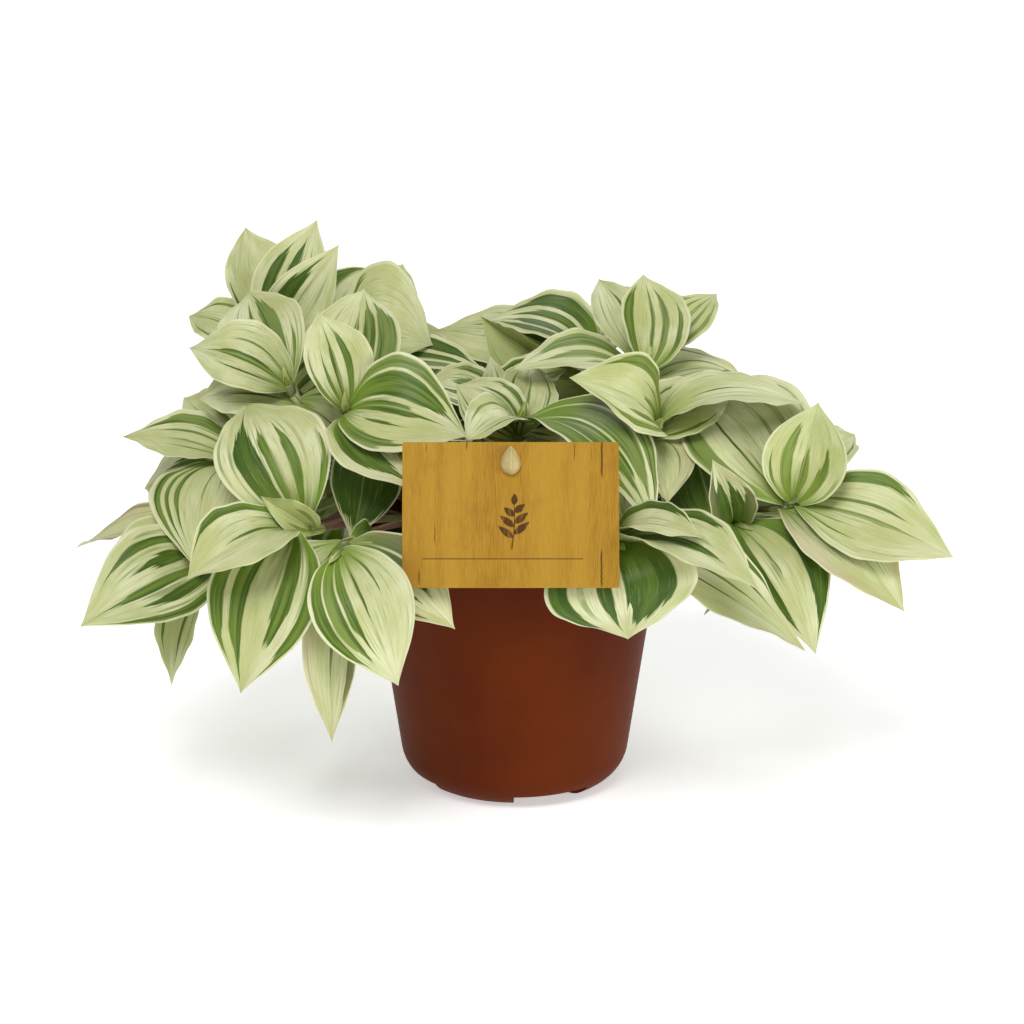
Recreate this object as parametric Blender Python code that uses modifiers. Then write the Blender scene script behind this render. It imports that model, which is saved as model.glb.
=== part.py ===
"""Potted tradescantia: striped leafy shoots in a plastic nursery pot, with a card on a stake.

Lengths here are in millimetres, and MM turns them into metres where a mesh is made.
+Z is up and the front with the card faces -Y. All is laid out about the pot's axis, and moved
level at the end, until the origin is on the ground under the middle of the part's box.
"""

import math
import random
from itertools import product
from typing import NamedTuple

import bmesh
import bpy
from mathutils import Quaternion, Vector
from mathutils.bvhtree import BVHTree
from mathutils.noise import noise

MM = 0.001

# Pot: a 12 cm nursery pot
POT_HEIGHT = 109.5
FOOT_RADIUS = 31.8
CORNER_RADIUS = 15.0
WALL_ANGLE = math.radians(8.26)
WALL = 1.5
RIM_BAND_HEIGHT = 7.0
RIM_BAND_STEP = 1.3
RIM_EDGE = 0.5
FOOT_HEIGHT = 6.5
FOOT_INNER_RADIUS = 23.0
INNER_CORNER = 12.0
INNER_CORNER_SHARE = 0.3
NOTCH_COUNT = 4
NOTCH_HEIGHT = 6.0
NOTCH_INNER_RADIUS = 20.0
NOTCH_STEPS = 6
NOTCH_MIDDLE = math.radians(21.0)
NOTCH_WIDTH = math.radians(43.0)
DRAIN_RADIUS = 3.5
DRAIN_RING = 13.5
DRAIN_COUNT = 4
DRAIN_SIDES = 12
POT_STEPS = 32
CORNER_STEPS = 4

# Soil
SOIL_TOP = 98.0
SOIL_DOME = 4.0
SOIL_ROUGHNESS = 1.3
SOIL_RINGS = 4
SOIL_STEPS = 20
SOIL_BUMP_RATE = 0.09
SOIL_CORNER = 15.0
FACET_DEPTH = 0.27
SEAT_GAP = 0.3
HOLE_DEPTH = 14.0
HOLE_CUT = 30.0
HOLE_RADIUS = 2.35
HOLE_SIDES = 5

# Card on its stake
CARD_WIDTH = 83.0
CARD_HEIGHT = 56.0
CARD_THICKNESS = 0.9
CARD_CORNER = 1.2
CARD_MIDDLE = Vector((-1.5, -78.0, 137.6))
CARD_LEAN = math.radians(24.0)
CARD_HOLE_UP = 19.8
CARD_HOLE_RADIUS = 2.5
CARD_HOLE_SIDES = 16
STAKE_RADIUS = 1.5
STAKE_SOIL = Vector((-1.0, -46.5, SOIL_TOP))
STAKE_RISE = 28.0
STAKE_RUN = 18.0
STAKE_RUN_BACK = 3.0
STAKE_BEND_BACK = 9.0
STAKE_BEND_DOWN = 3.5
STAKE_TAIL = ((-5.2, -0.9), (-2.2, 0.0), (CARD_THICKNESS + 0.6, 0.0))
STAKE_PIECES = 5
STAKE_TILT = math.radians(11.0)
KNOB_RADIUS = 3.6
KNOB_LENGTH = 4.2
KNOB_DROP_TOP = 6.6
KNOB_DROP_BOTTOM = 4.4
KNOB_NARROWING = 0.45
KNOB_SEGMENTS = 10
KNOB_RINGS = 6
COLLAR_RADIUS = 3.4
COLLAR_THICKNESS = 1.2
COLLAR_SIDES = 12

# Stems and blades
STEM_RADIUS = 1.6
STEM_PIECES = 7
STEM_RISE = 0.4
STEM_RUN = 0.33
STEM_LEANS = (0, 5, 9, 13, 18, 24)
STEM_LEAN_TURNS = 8
ROOT_SHARES = (0.33, 0.26, 0.4, 0.2, 0.14, 0.08)
ROOT_TURNS = (0, -10, 10, -20, 20, -32, 32, -45, 45)
ROOT_SPACING = 6.5
ROOT_LIMIT = 40.0
ROOT_TO_STAKE = 9.0
BLADE_THICKNESS = 0.8
FRONT_ROWS = (0.0, 0.13, 0.32, 0.54, 0.78, 1.0)
FRONT_COLUMNS = (-1.0, -0.55, 0.0, 0.55, 1.0)
BACK_ROWS = (0.0, 0.15, 0.42, 0.72, 1.0)
BACK_COLUMNS = (-1.0, 0.0, 1.0)
BASE_SHARE = 0.01
BASE_POWER = 1.05
TIP_POWER = 1.25
BASE_CUP = 0.4
BOW_SKEW = 0.9
FOLD_POWER = 1.3
WAVES = 1.6
WAVE_SIZE = (0.6, 1.8)
WELD_DISTANCES = (0.0, 0.002, 0.02)
CLEARANCE = 0.5
FREE_OF_SIBLINGS_FROM = 0.1
GROUND_CLEARANCE = 4.0

# The foliage is laid out as it is seen from this eye: in front, a little above
EYE_DISTANCE = 1500.0
EYE_HEIGHT_ANGLE = math.radians(18.61)
LOOK_AT = Vector((0.0, 0.0, 110.0))
SIGHT_LENGTH = 300.0

SEED = 4
BACK_SEED = 5


class Leaf(NamedTuple):
    """A leaf of a shoot in the front, placed as seen from the eye."""

    tip: tuple
    width: float
    face: tuple = (0.0, 0.5, 0.85)
    bow: float = 0.16
    fold: float = 0.22
    down: float = 0.0


class Shoot(NamedTuple):
    """A stem of the front: where it ends and heads as seen from the eye, and its leaves."""

    name: str
    end: tuple
    heading: tuple
    leaves: tuple


class Blade(NamedTuple):
    """A leaf blade in the part's frame: from its base to its tip, and how it bends."""

    base: Vector
    tip: Vector
    face: Vector
    width: float
    bow: float
    fold: float
    wave: float
    phase: float
    rows: tuple
    columns: tuple


# Places as seen: right of the pot's axis, above the look-at point, nearer to the eye
SHOOTS = (
    Shoot("shoot_front_left", (-90, -5, 58), (-0.5, 0.1, 0.85), (
        Leaf((-111, -71, 74), 45, (-0.1, 0.25, 1), 0.2, 0.15, 2),
        Leaf((-133, -25, 100), 36, (-0.05, 0.65, 0.75), 0.12),
        Leaf((-109, 47, 30), 47, (0.1, 0.1, 1), 0.24, 0.15, 6),
        Leaf((-103, 9, 68), 15, (0.15, -0.1, 1), 0.1, 0.5),
    )),
    Shoot("shoot_upper_left", (-68, 43, 42), (-0.05, 0.5, 0.85), (
        Leaf((-80, 84, 42), 30, (0.35, -0.1, 0.9), 0.12, 0.3),
        Leaf((-61, 93, 18), 40, (-0.1, -0.1, 1), 0.16, 0.2, 3),
        Leaf((-19, 33, 60), 44, (0.05, 0.65, 0.75), 0.26, 0.12),
        Leaf((-35, 10, 70), 44, (0.05, 0.45, 0.9), 0.18, 0.12, 4),
        Leaf((-66, -10, 48), 30, (0.3, 0.0, 0.95), 0.15, 0.2, 16),
    )),
    Shoot("shoot_left_crown", (-98, 68, -14), (-0.2, 0.95, 0.1), (
        Leaf((-109, 118, -30), 35, (0.3, 0, 0.95), 0.1, 0.3),
        Leaf((-80, 121, -14), 32, (-0.15, 0, 1), 0.12, 0.2),
        Leaf((-71, 111, 0), 28, (0, 0, 1), 0.12, 0.3),
        Leaf((-132, 82, -40), 26, (-0.3, 0.6, 0.6), 0.2, 0.3, 12),
    )),
    Shoot("shoot_left_shoulder", (-91, 52, 20), (-0.2, 0.7, 0.65), (
        Leaf((-108, 92, -10), 37, (-0.1, 0.15, 1), 0.22, 0.15),
        Leaf((-132, 69, 10), 32, (-0.1, 0.45, 0.85), 0.28, 0.15),
        Leaf((-128, 48, 26), 30, (-0.1, 0.5, 0.85), 0.28, 0.15, 5),
        Leaf((-66, 30, 4), 34, (0.2, 0.3, 0.9), 0.15, 0.2, 6),
    )),
    Shoot("shoot_back_left", (-68, 70, -34), (0.1, 0.95, 0.1), (
        Leaf((-33, 70, -20), 58, (0.05, 0.6, 0.8), 0.42, 0.08),
        Leaf((-98, 42, -34), 36, (-0.2, 0.4, 0.9), 0.15, 0.2),
        Leaf((-45, 103, -40), 46, (-0.3, 0.2, 0.9), 0.15, 0.2, 2),
        Leaf((-12, 60, -6), 28, (0.1, 0.75, 0.65), 0.15, 0.25, 14),
    )),
    Shoot("shoot_far_left", (-112, 22, 8), (-0.9, 0.25, 0.2), (
        Leaf((-128, -22, 50), 46, (-0.45, 0.3, 0.85), 0.22, 0.12),
        Leaf((-159, 33, 4), 30, (-0.1, 0.5, 0.85), 0.12, 0.2, 3),
        Leaf((-134, 49, -8), 28, (-0.2, 0.3, 0.9), 0.15, 0.2, 8),
        Leaf((-150, 12, -18), 36, (-0.1, 0.5, 0.85), 0.12, 0.15, 5),
    )),
    Shoot("shoot_low_left", (-120, -18, 22), (-0.85, -0.35, 0.3), (
        Leaf((-176, -44, 56), 44, (0.0, 0.4, 0.9), 0.16, 0.15),
        Leaf((-170, -27, 22), 38, (0.0, 0.8, 0.6), 0.24, 0.12, 4),
        Leaf((-178, -12, -6), 32, (0.15, 0.8, 0.5), 0.14, 0.25, 9),
        Leaf((-139, -68, 30), 24, (-0.6, 0.1, 0.8), 0.12, 0.4),
        Leaf((-152, -30, -22), 32, (-0.3, 0.7, -0.4), 0.2, 0.2, 6),
    )),
    Shoot("shoot_pot_left", (-71, -13, 72), (-0.15, -0.3, 0.95), (
        Leaf((-47, -68, 88), 41, (-0.1, 0.3, 0.95), 0.2, 0.15),
        Leaf((-24, -45, 78), 32, (0.2, 0.45, 0.9), 0.12, 0.2, 2),
        Leaf((-50, -15, 58), 18, (0.0, 0.8, 0.6), 0.15, 0.3),
        Leaf((-74, -91, 62), 26, (-0.2, 0.1, 0.95), 0.08, 0.5, 6),
        Leaf((-98, -52, 48), 28, (-0.5, 0.2, 0.8), 0.15, 0.3, 10),
    )),
    Shoot("shoot_pot_right", (41, -10, 62), (0.3, -0.1, 0.95), (
        Leaf((46, -49, 60), 60, (0, 0.0, 1), 0.46, 0.05, 3),
        Leaf((76, -8, 94), 24, (0.0, 0.75, 0.65), 0.15, 0.3),
        Leaf((99, -29, 88), 36, (0.1, 0.8, 0.6), 0.12, 0.35),
        Leaf((118, -54, 58), 36, (0.2, 0.65, 0.7), 0.1, 0.2, 5),
        Leaf((12, -28, 76), 30, (-0.1, 0.6, 0.75), 0.2, 0.2, 5),
    )),
    Shoot("shoot_behind_card", (2, 38, 28), (0.15, 0.7, 0.7), (
        Leaf((57, -4, 60), 50, (0.55, 0.55, 0.6), 0.26, 0.12),
        Leaf((-20, 31, 58), 26, (0.0, 0.8, 0.6), 0.18, 0.2),
        Leaf((-24, 54, 24), 28, (-0.2, 0.5, 0.8), 0.2, 0.25, 4),
        Leaf((6, 62, 8), 26, (0.1, -0.2, 1), 0.15, 0.35),
        Leaf((4, 2, 52), 34, (0.0, 0.5, 0.85), 0.2, 0.2, 8),
    )),
    Shoot("shoot_right", (113, 6, 14), (0.65, 0.35, 0.7), (
        Leaf((71, 54, -8), 56, (0.15, 0.3, 0.95), 0.24, 0.12, 3),
        Leaf((123, 47, 22), 38, (-0.1, -0.2, 1), 0.12, 0.4),
        Leaf((178, -16, 30), 42, (0.05, 0.5, 0.85), 0.1, 0.12),
        Leaf((158, -38, 50), 40, (0.1, 0.65, 0.75), 0.14, 0.15, 3),
        Leaf((138, 34, -28), 26, (0.3, 0.7, 0.3), 0.15, 0.3, 5),
    )),
    Shoot("shoot_low_right", (88, -2, 8), (0.6, -0.1, 0.8), (
        Leaf((122, -55, 44), 42, (0.3, 0.45, 0.85), 0.15, 0.2),
        Leaf((72, 30, 12), 38, (0.0, -0.3, 0.95), 0.15, 0.2, 4),
        Leaf((80, 24, 40), 22, (0.6, 0.1, 0.75), 0.15, 0.35),
        Leaf((134, -26, -28), 34, (0.2, 0.8, 0.0), 0.2, 0.2, 8),
    )),
    Shoot("shoot_right_crown", (53, 59, -12), (0.1, 0.95, 0.2), (
        Leaf((52, 99, -18), 36, (0.3, -0.1, 0.9), 0.1, 0.5),
        Leaf((34, 97, -40), 26, (0.2, -0.1, 1), 0.12, 0.35),
        Leaf((82, 91, -30), 26, (-0.2, 0.3, 0.9), 0.12, 0.25),
        Leaf((-1, 60, 12), 33, (-0.1, 0.8, 0.6), 0.15, 0.15),
        Leaf((98, 52, -34), 38, (0.2, 0.85, 0.3), 0.2, 0.15, 8),
    )),
    Shoot("shoot_middle_right", (57, 36, 18), (0.2, 0.4, 0.9), (
        Leaf((22, 57, 40), 36, (-0.1, 0.5, 0.85), 0.2, 0.2),
        Leaf((118, 46, 6), 38, (0.1, 0.9, 0.4), 0.18, 0.12, 2),
        Leaf((88, 50, 34), 34, (0.1, 0.7, 0.7), 0.14, 0.15),
        Leaf((62, 6, 48), 28, (0.3, 0.2, 0.9), 0.15, 0.25, 6),
    )),
    Shoot("shoot_top_middle", (33, 60, -46), (-0.1, 0.95, 0.1), (
        Leaf((-14, 82, -20), 42, (-0.2, -0.5, 0.8), 0.14, 0.75),
        Leaf((-12, 80, -52), 46, (0.1, 0.85, 0.5), 0.24, 0.15),
        Leaf((-33, 76, -50), 34, (0.0, 0.5, 0.85), 0.14, 0.2, 6),
        Leaf((60, 66, -84), 34, (0.3, 0.7, -0.4), 0.2, 0.2),
    )),
    Shoot("shoot_centre", (-8, 42, -4), (0.05, 0.9, 0.4), (
        Leaf((-38, 54, 0), 28, (0.0, 0.7, 0.7), 0.2, 0.2),
        Leaf((22, 60, -12), 28, (0.1, 0.7, 0.7), 0.2, 0.25),
        Leaf((-10, 68, -24), 28, (-0.1, 0.1, 1), 0.2, 0.3),
        Leaf((-32, 34, 26), 28, (-0.2, 0.6, 0.7), 0.2, 0.2, 4),
    )),
)

# Shoots of the sides and the back, in rings round the pot: how many, how far out, how high
BACK_RINGS = (
    ("shoot_back_low", 9, 102.0, 98.0, -0.5),
    ("shoot_back_middle", 7, 80.0, 126.0, 0.5),
    ("shoot_back_top", 4, 42.0, 140.0, 1.2),
)
BACK_SWEEP = (math.radians(-8.0), math.radians(188.0))
BACK_ANGLE_SPREAD = 0.12
BACK_OUT_SPREAD = (0.9, 1.1)
BACK_HEIGHT_SPREAD = (0.94, 1.04)
BACK_LEAVES = 5
BACK_LENGTH = (62.0, 84.0)
BACK_WIDTH_SHARE = (0.56, 0.68)
BACK_BOW = (0.14, 0.26)
BACK_FOLD = (0.12, 0.35)
YOUNG_SHARE = 0.75
NODE_SPACING = 7.0
OUTLINE_MARGIN = 2.0
LEAF_TURN = math.radians(137.5)
LEAF_OPEN = (math.radians(52.0), math.radians(84.0))
LEAF_DROOP = 0.22

# How far the foliage reaches as seen: its upper and lower outline as (right, up)
SKYLINE = (
    (-178, -12), (-150, 38), (-135, 70), (-118, 112), (-62, 112), (-45, 100), (-33, 84),
    (0, 80), (20, 80), (30, 96), (80, 84), (95, 56), (128, 42), (140, 28), (178, -14),
)
HEMLINE = (
    (-178, -45), (-140, -62), (-110, -68), (-75, -85), (-58, -50), (-50, -110),
    (50, -110), (56, -42), (90, -42), (120, -54), (127, -20), (158, -36), (178, -18),
)
REACH_BACK = 158.0
REACH_SIDE = 176.0


# Ways to bend a leaf clear of the others, and what a step of each costs
FRONT_WAYS = (
    ((0, -8, 8, -16, 16, -26, 26, -38, 38, -52, 52, -70), 1 / 12),
    ((0, -18, 18, -36, 36, -54, 54), 1 / 20),
    ((0, 4, 8, 13), 1 / 7),
    ((0.0, 0.1, 0.22, 0.34), 14.0),
)
BACK_WAYS = (
    ((0, -15, 15, -30, 30, -45, 45), 1 / 15),
    ((0, -15, 15, -30, 30), 1 / 15),
    ((0, -25, 25), 1 / 25),
    ((0.0, 0.15, 0.3), 9.0),
)


def eye_axes():
    """Right, up and nearer as seen from the eye, as directions in the part's frame."""
    cos, sin = math.cos(EYE_HEIGHT_ANGLE), math.sin(EYE_HEIGHT_ANGLE)
    return Vector((1, 0, 0)), Vector((0, sin, cos)), Vector((0, -cos, sin))


def from_eye(seen):
    """The point in the part's frame that the eye sees at (right, up, nearer)."""
    right, up, nearer = eye_axes()
    share = (EYE_DISTANCE - seen[2]) / EYE_DISTANCE
    return LOOK_AT + (right * seen[0] + up * seen[1]) * share + nearer * seen[2]


def to_eye(point):
    """Where the eye sees a point: (right, up, nearer)."""
    right, up, nearer = eye_axes()
    offset = point - LOOK_AT
    near = offset.dot(nearer)
    share = EYE_DISTANCE / (EYE_DISTANCE - near)
    return offset.dot(right) * share, offset.dot(up) * share, near


def direction_from_eye(seen):
    """A direction given as (right, up, nearer), in the part's frame."""
    right, up, nearer = eye_axes()
    return (right * seen[0] + up * seen[1] + nearer * seen[2]).normalized()


def half_breadth(t):
    """Half of a blade's width at t along it, as a share of its widest half."""
    peak = (BASE_POWER - TIP_POWER * BASE_SHARE) / (BASE_POWER + TIP_POWER)
    widest = (peak + BASE_SHARE) ** BASE_POWER * (1 - peak) ** TIP_POWER
    return (t + BASE_SHARE) ** BASE_POWER * (1 - t) ** TIP_POWER / widest


def blade_frames(blade):
    """The frames across a blade: middle, side direction, upper direction, half width, lifts."""
    chord = blade.tip - blade.base
    length = chord.length
    along = chord / length
    upper = (blade.face - along * blade.face.dot(along)).normalized()
    side = along.cross(upper)
    frames = []
    for t in blade.rows:
        turn = math.pi * t ** BOW_SKEW
        arch = math.sin(turn)
        slope = math.pi * BOW_SKEW * max(t, BASE_SHARE) ** (BOW_SKEW - 1) * math.cos(turn)
        middle = blade.base + along * (length * t) + upper * (length * blade.bow * arch)
        tangent = (along + upper * (blade.bow * slope)).normalized()
        normal = side.cross(tangent)
        half = 0.5 * blade.width * half_breadth(t)
        fold = blade.fold + BASE_CUP * (1 - t) ** 3
        ruffle = blade.wave * math.sin(2 * math.pi * (WAVES * t + blade.phase))
        frames.append((middle, side, normal, half, fold, ruffle))
    return frames


def blade_shell(blade, thickness, margin=0.0):
    """The corners and triangles of a blade: thick along its middle, thin along its edges."""
    corners = []
    columns = blade.columns
    inner = columns[1:-1]
    frames = blade_frames(blade)
    for middle, side, normal, half, fold, ruffle in frames[:-1]:
        ring = []
        for s in columns:
            reach = s * (half + margin)
            lift = abs(s) ** FOLD_POWER * half * fold + s * abs(s) * ruffle
            spread = math.cos(fold) if abs(s) > 0 else 1.0
            ring.append(middle + side * (reach * spread) + normal * lift)
        offset = normal * (0.5 * thickness + margin)
        under = [ring[i + 1] - offset for i in range(len(inner))]
        ring[1:-1] = [point + offset for point in ring[1:-1]]
        corners += ring + under[::-1]
    corners.append(frames[-1][0] + (frames[-1][0] - frames[-2][0]).normalized() * margin)
    return corners, blade_faces(len(blade.rows), len(columns))


def blade_faces(row_count, column_count):
    """The triangles of a blade, split alike on both faces."""
    around = 2 * column_count - 2
    upper = list(range(column_count))
    lower = [0] + [around - j for j in range(1, column_count - 1)] + [column_count - 1]
    faces = []
    last = (row_count - 1) * around
    for i in range(row_count - 1):
        here, there = i * around, (i + 1) * around
        for j in range(column_count - 1):
            for line, flip in ((upper, False), (lower, True)):
                a, b = here + line[j], here + line[j + 1]
                if i == row_count - 2:
                    split = [(a, b, last)]
                else:
                    c, d = there + line[j + 1], there + line[j]
                    split = [(a, b, c), (a, c, d)] if j % 2 else [(a, b, d), (b, c, d)]
                faces += [face[::-1] for face in split] if flip else split
    for j in range(column_count - 1):
        a, b, c, d = upper[j], upper[j + 1], lower[j + 1], lower[j]
        if a != d:
            faces.append((a, d, c) if b != c else (a, d, b))
        if b != c:
            faces.append((a, c, b))
    return faces


def bezier(p0, p1, p2, p3, t):
    """A point of the cubic curve through p0 and p3."""
    u = 1 - t
    return p0 * u ** 3 + p1 * (3 * u * u * t) + p2 * (3 * u * t * t) + p3 * t ** 3


def stem_points(root, end, heading, lean):
    """A stem's centre line: out of its hole in the soil, then in one bend to its end."""
    span = (end - root).length
    rise = root + Vector((lean.x, lean.y, STEM_RISE * span))
    run = end - heading * (STEM_RUN * span)
    foot = root - Vector((0, 0, HOLE_DEPTH - SEAT_GAP))
    return [foot] + [bezier(root, rise, run, end, i / STEM_PIECES) for i in range(STEM_PIECES + 1)]


def tube_shell(points, radius, sides=6):
    """The corners and faces of a tube round a centre line, for the clearance test."""
    corners, faces = [], []
    for i, point in enumerate(points):
        run = points[min(i + 1, len(points) - 1)] - points[max(i - 1, 0)]
        turn = Vector((0, 0, 1)).rotation_difference(run)
        for k in range(sides):
            angle = 2 * math.pi * k / sides
            corners.append(point + turn @ Vector((math.cos(angle), math.sin(angle), 0)) * radius)
    for i in range(len(points) - 1):
        for k in range(sides):
            a, b = i * sides + k, i * sides + (k + 1) % sides
            faces.append((a, b, b + sides, a + sides))
    return corners, faces


def lathe_shell(profile, sides=32):
    """The corners and faces of a turned skin, for the clearance test."""
    corners = [
        Vector((r * math.cos(2 * math.pi * k / sides), r * math.sin(2 * math.pi * k / sides), z))
        for r, z in profile
        for k in range(sides)
    ]
    faces = []
    for i in range(len(profile) - 1):
        for k in range(sides):
            a, b = i * sides + k, i * sides + (k + 1) % sides
            faces.append((a, b, b + sides, a + sides))
    return corners, faces


def wall_radius(z):
    """The pot's outer radius at a height, above its rounded bottom corner."""
    middle = Vector((FOOT_RADIUS, CORNER_RADIUS))
    touch_r = middle.x + CORNER_RADIUS * math.cos(WALL_ANGLE)
    touch_z = middle.y - CORNER_RADIUS * math.sin(WALL_ANGLE)
    return touch_r + (z - touch_z) * math.tan(WALL_ANGLE)


def card_axes():
    """The card's up and out directions."""
    cos, sin = math.cos(CARD_LEAN), math.sin(CARD_LEAN)
    return Vector((0, sin, cos)), Vector((0, -cos, sin))


def stake_points():
    """The stake's centre line: out of the soil, up behind the card, and out through it."""
    up, out = card_axes()
    hole = CARD_MIDDLE + up * CARD_HOLE_UP
    foot = STAKE_SOIL - Vector((0, 0, HOLE_DEPTH - SEAT_GAP))
    rise = STAKE_SOIL + Vector((0, 0, STAKE_RISE))
    bend = hole - out * STAKE_BEND_BACK - up * STAKE_BEND_DOWN
    run = bend - up * STAKE_RUN - out * STAKE_RUN_BACK
    points = [bezier(STAKE_SOIL, rise, run, bend, i / STAKE_PIECES) for i in range(STAKE_PIECES + 1)]
    return [foot] + points + [hole + out * forward + up * raised for forward, raised in STAKE_TAIL]


class Thicket:
    """Everything placed so far, so that what comes next can be kept clear of it."""

    def __init__(self):
        self.placed = []
        self.seen_first = []
        self.add("pot", lathe_shell((
            (FOOT_RADIUS, 0.0), (wall_radius(14.0), 10.0),
            (wall_radius(POT_HEIGHT) + RIM_BAND_STEP, POT_HEIGHT),
            (wall_radius(POT_HEIGHT) - WALL, POT_HEIGHT),
            (wall_radius(SOIL_TOP) - WALL, SOIL_TOP),
        )))
        self.add("soil", lathe_shell((
            (wall_radius(SOIL_TOP) - WALL, SOIL_TOP + SOIL_ROUGHNESS),
            (0.5, SOIL_TOP + SOIL_DOME + SOIL_ROUGHNESS),
        )))
        up, out = card_axes()
        right = Vector((1, 0, 0))
        corners = [
            CARD_MIDDLE + right * (x * CARD_WIDTH / 2) + up * (y * CARD_HEIGHT / 2) + out * z
            for x, y, z in ((-1, -1, 0), (1, -1, 0), (1, 1, 0), (-1, 1, 0),
                            (-1, -1, 1), (1, -1, 1), (1, 1, 1), (-1, 1, 1))
        ]
        self.add("card", (corners, [(0, 1, 2, 3), (4, 5, 6, 7), (0, 1, 5, 4), (2, 3, 7, 6)]))
        self.add("card_stake", tube_shell(stake_points()[1:], STAKE_RADIUS + 1.0))

    def add(self, owner, shell, outer=None):
        """Keeps a piece; outer is what its own siblings must stay clear of."""
        whole = BVHTree.FromPolygons(*shell)
        self.placed.append((owner, whole, BVHTree.FromPolygons(*outer) if outer else None))

    def clear(self, owner, shell, outer=None):
        """Whether a piece touches nothing of another owner, nor its siblings' outer parts."""
        whole = BVHTree.FromPolygons(*shell)
        tip = BVHTree.FromPolygons(*outer) if outer else None
        for other, tree, others_tip in self.placed:
            if other != owner and whole.overlap(tree):
                return False
            if other == owner and tip and others_tip and tip.overlap(others_tip):
                return False
        return True

    def in_front(self, points):
        """Whether any of the points hides a front leaf from the eye."""
        right, up, nearer = eye_axes()
        eye = LOOK_AT + nearer * EYE_DISTANCE
        for point in points:
            away = (point - eye).normalized()
            for tree in self.seen_first:
                if tree.ray_cast(point + away, away, SIGHT_LENGTH)[0]:
                    return True
        return False


def outer_part(blade):
    """A blade without its crowded base."""
    return blade._replace(rows=tuple(t for t in blade.rows if t >= FREE_OF_SIBLINGS_FROM))


def blade_is_clear(thicket, owner, blade):
    """Whether a blade, with its clearance, fits among what is placed."""
    whole = blade_shell(blade, BLADE_THICKNESS, CLEARANCE)
    if min(corner.z for corner in whole[0]) < GROUND_CLEARANCE:
        return False
    return thicket.clear(owner, whole, blade_shell(outer_part(blade), BLADE_THICKNESS, CLEARANCE))


def keep_blade(thicket, owner, blade, is_front):
    """Adds a blade to the thicket."""
    shell = blade_shell(blade, BLADE_THICKNESS)
    thicket.add(owner, shell, blade_shell(outer_part(blade), BLADE_THICKNESS))
    if is_front:
        thicket.seen_first.append(BVHTree.FromPolygons(*shell))


def trials(ways):
    """Every mix of ways to bend a leaf, the slightest first."""
    mixes = []
    for steps in product(*(way for way, _ in ways)):
        cost = sum(abs(step) * price for step, (_, price) in zip(steps, ways))
        mixes.append((cost, *steps))
    return sorted(mixes)


def settle_front_leaf(thicket, owner, leaf, points, rng):
    """Bends a front leaf clear of what is placed, or gives it up."""
    wave, phase = rng.uniform(*WAVE_SIZE), rng.random()
    for _, near, roll, slide, loss in trials(FRONT_WAYS):
        base = point_back_along(points, leaf.down + slide)
        tip = from_eye((leaf.tip[0], leaf.tip[1], leaf.tip[2] + near))
        chord = (tip - base) * (1 - loss) ** 0.5
        face = Quaternion(chord.normalized(), math.radians(roll)) @ direction_from_eye(leaf.face)
        blade = Blade(base, base + chord, face, leaf.width * (1 - loss), leaf.bow, leaf.fold,
                      wave, phase, FRONT_ROWS, FRONT_COLUMNS)
        if blade_is_clear(thicket, owner, blade):
            return blade
    return None


def line_height(line, right):
    """The height of a line of (right, up) points at a place along it."""
    for (u0, v0), (u1, v1) in zip(line, line[1:]):
        if u0 <= right <= u1:
            return v0 + (v1 - v0) * (right - u0) / (u1 - u0)
    return None


def inside_outline(points):
    """Whether points of the back stay inside the foliage's outline as seen, and its reach."""
    for point in points:
        right, up, _ = to_eye(point)
        if abs(point.x) > REACH_SIDE or point.y > REACH_BACK:
            return False
        top, bottom = line_height(SKYLINE, right), line_height(HEMLINE, right)
        if top is None or up > top - OUTLINE_MARGIN or up < bottom + OUTLINE_MARGIN:
            return False
    return True


def settle_back_leaf(thicket, owner, base, chord, face, width, rng):
    """Bends a leaf of the back clear of what is placed and behind the front, or gives it up."""
    wave, phase = rng.uniform(*WAVE_SIZE), rng.random()
    bow, fold = rng.uniform(*BACK_BOW), rng.uniform(*BACK_FOLD)
    across = chord.cross(face).normalized()
    for _, swing, lift, roll, loss in trials(BACK_WAYS):
        turn = Quaternion(face, math.radians(swing)) @ Quaternion(across, math.radians(lift))
        reach = (turn @ chord) * (1 - loss)
        upper = Quaternion(reach.normalized(), math.radians(roll)) @ face
        blade = Blade(base, base + reach, upper, width * (1 - loss), bow, fold, wave, phase,
                      BACK_ROWS, BACK_COLUMNS)
        probes = blade_shell(outer_part(blade), BLADE_THICKNESS)[0]
        if inside_outline(probes) and blade_is_clear(thicket, owner, blade):
            if not thicket.in_front(probes):
                return blade
    return None


def settle_stem(thicket, owner, root, end, heading):
    """Leans a stem until it passes everything placed."""
    for lean in STEM_LEANS:
        for turn in range(STEM_LEAN_TURNS if lean else 1):
            angle = 2 * math.pi * turn / STEM_LEAN_TURNS
            sideways = Vector((lean * math.cos(angle), lean * math.sin(angle), 0))
            points = stem_points(root, end, heading, sideways)
            if thicket.clear(owner, tube_shell(points[2:], STEM_RADIUS + CLEARANCE)):
                return points
    return None


def pick_root(roots, end):
    """A free place in the soil on the way to a stem's end."""
    flat = Vector((end.x, end.y, 0))
    for share in ROOT_SHARES:
        for turn in ROOT_TURNS:
            place = Quaternion((0, 0, 1), math.radians(turn)) @ (flat * share)
            place.z = SOIL_TOP + SOIL_DOME * (1 - (place.xy.length / wall_radius(SOIL_TOP)) ** 2)
            apart = all((place - other).xy.length > ROOT_SPACING for other in roots)
            past_stake = (place - STAKE_SOIL).xy.length > ROOT_TO_STAKE
            if apart and past_stake and place.xy.length < ROOT_LIMIT:
                return place
    return None


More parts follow.
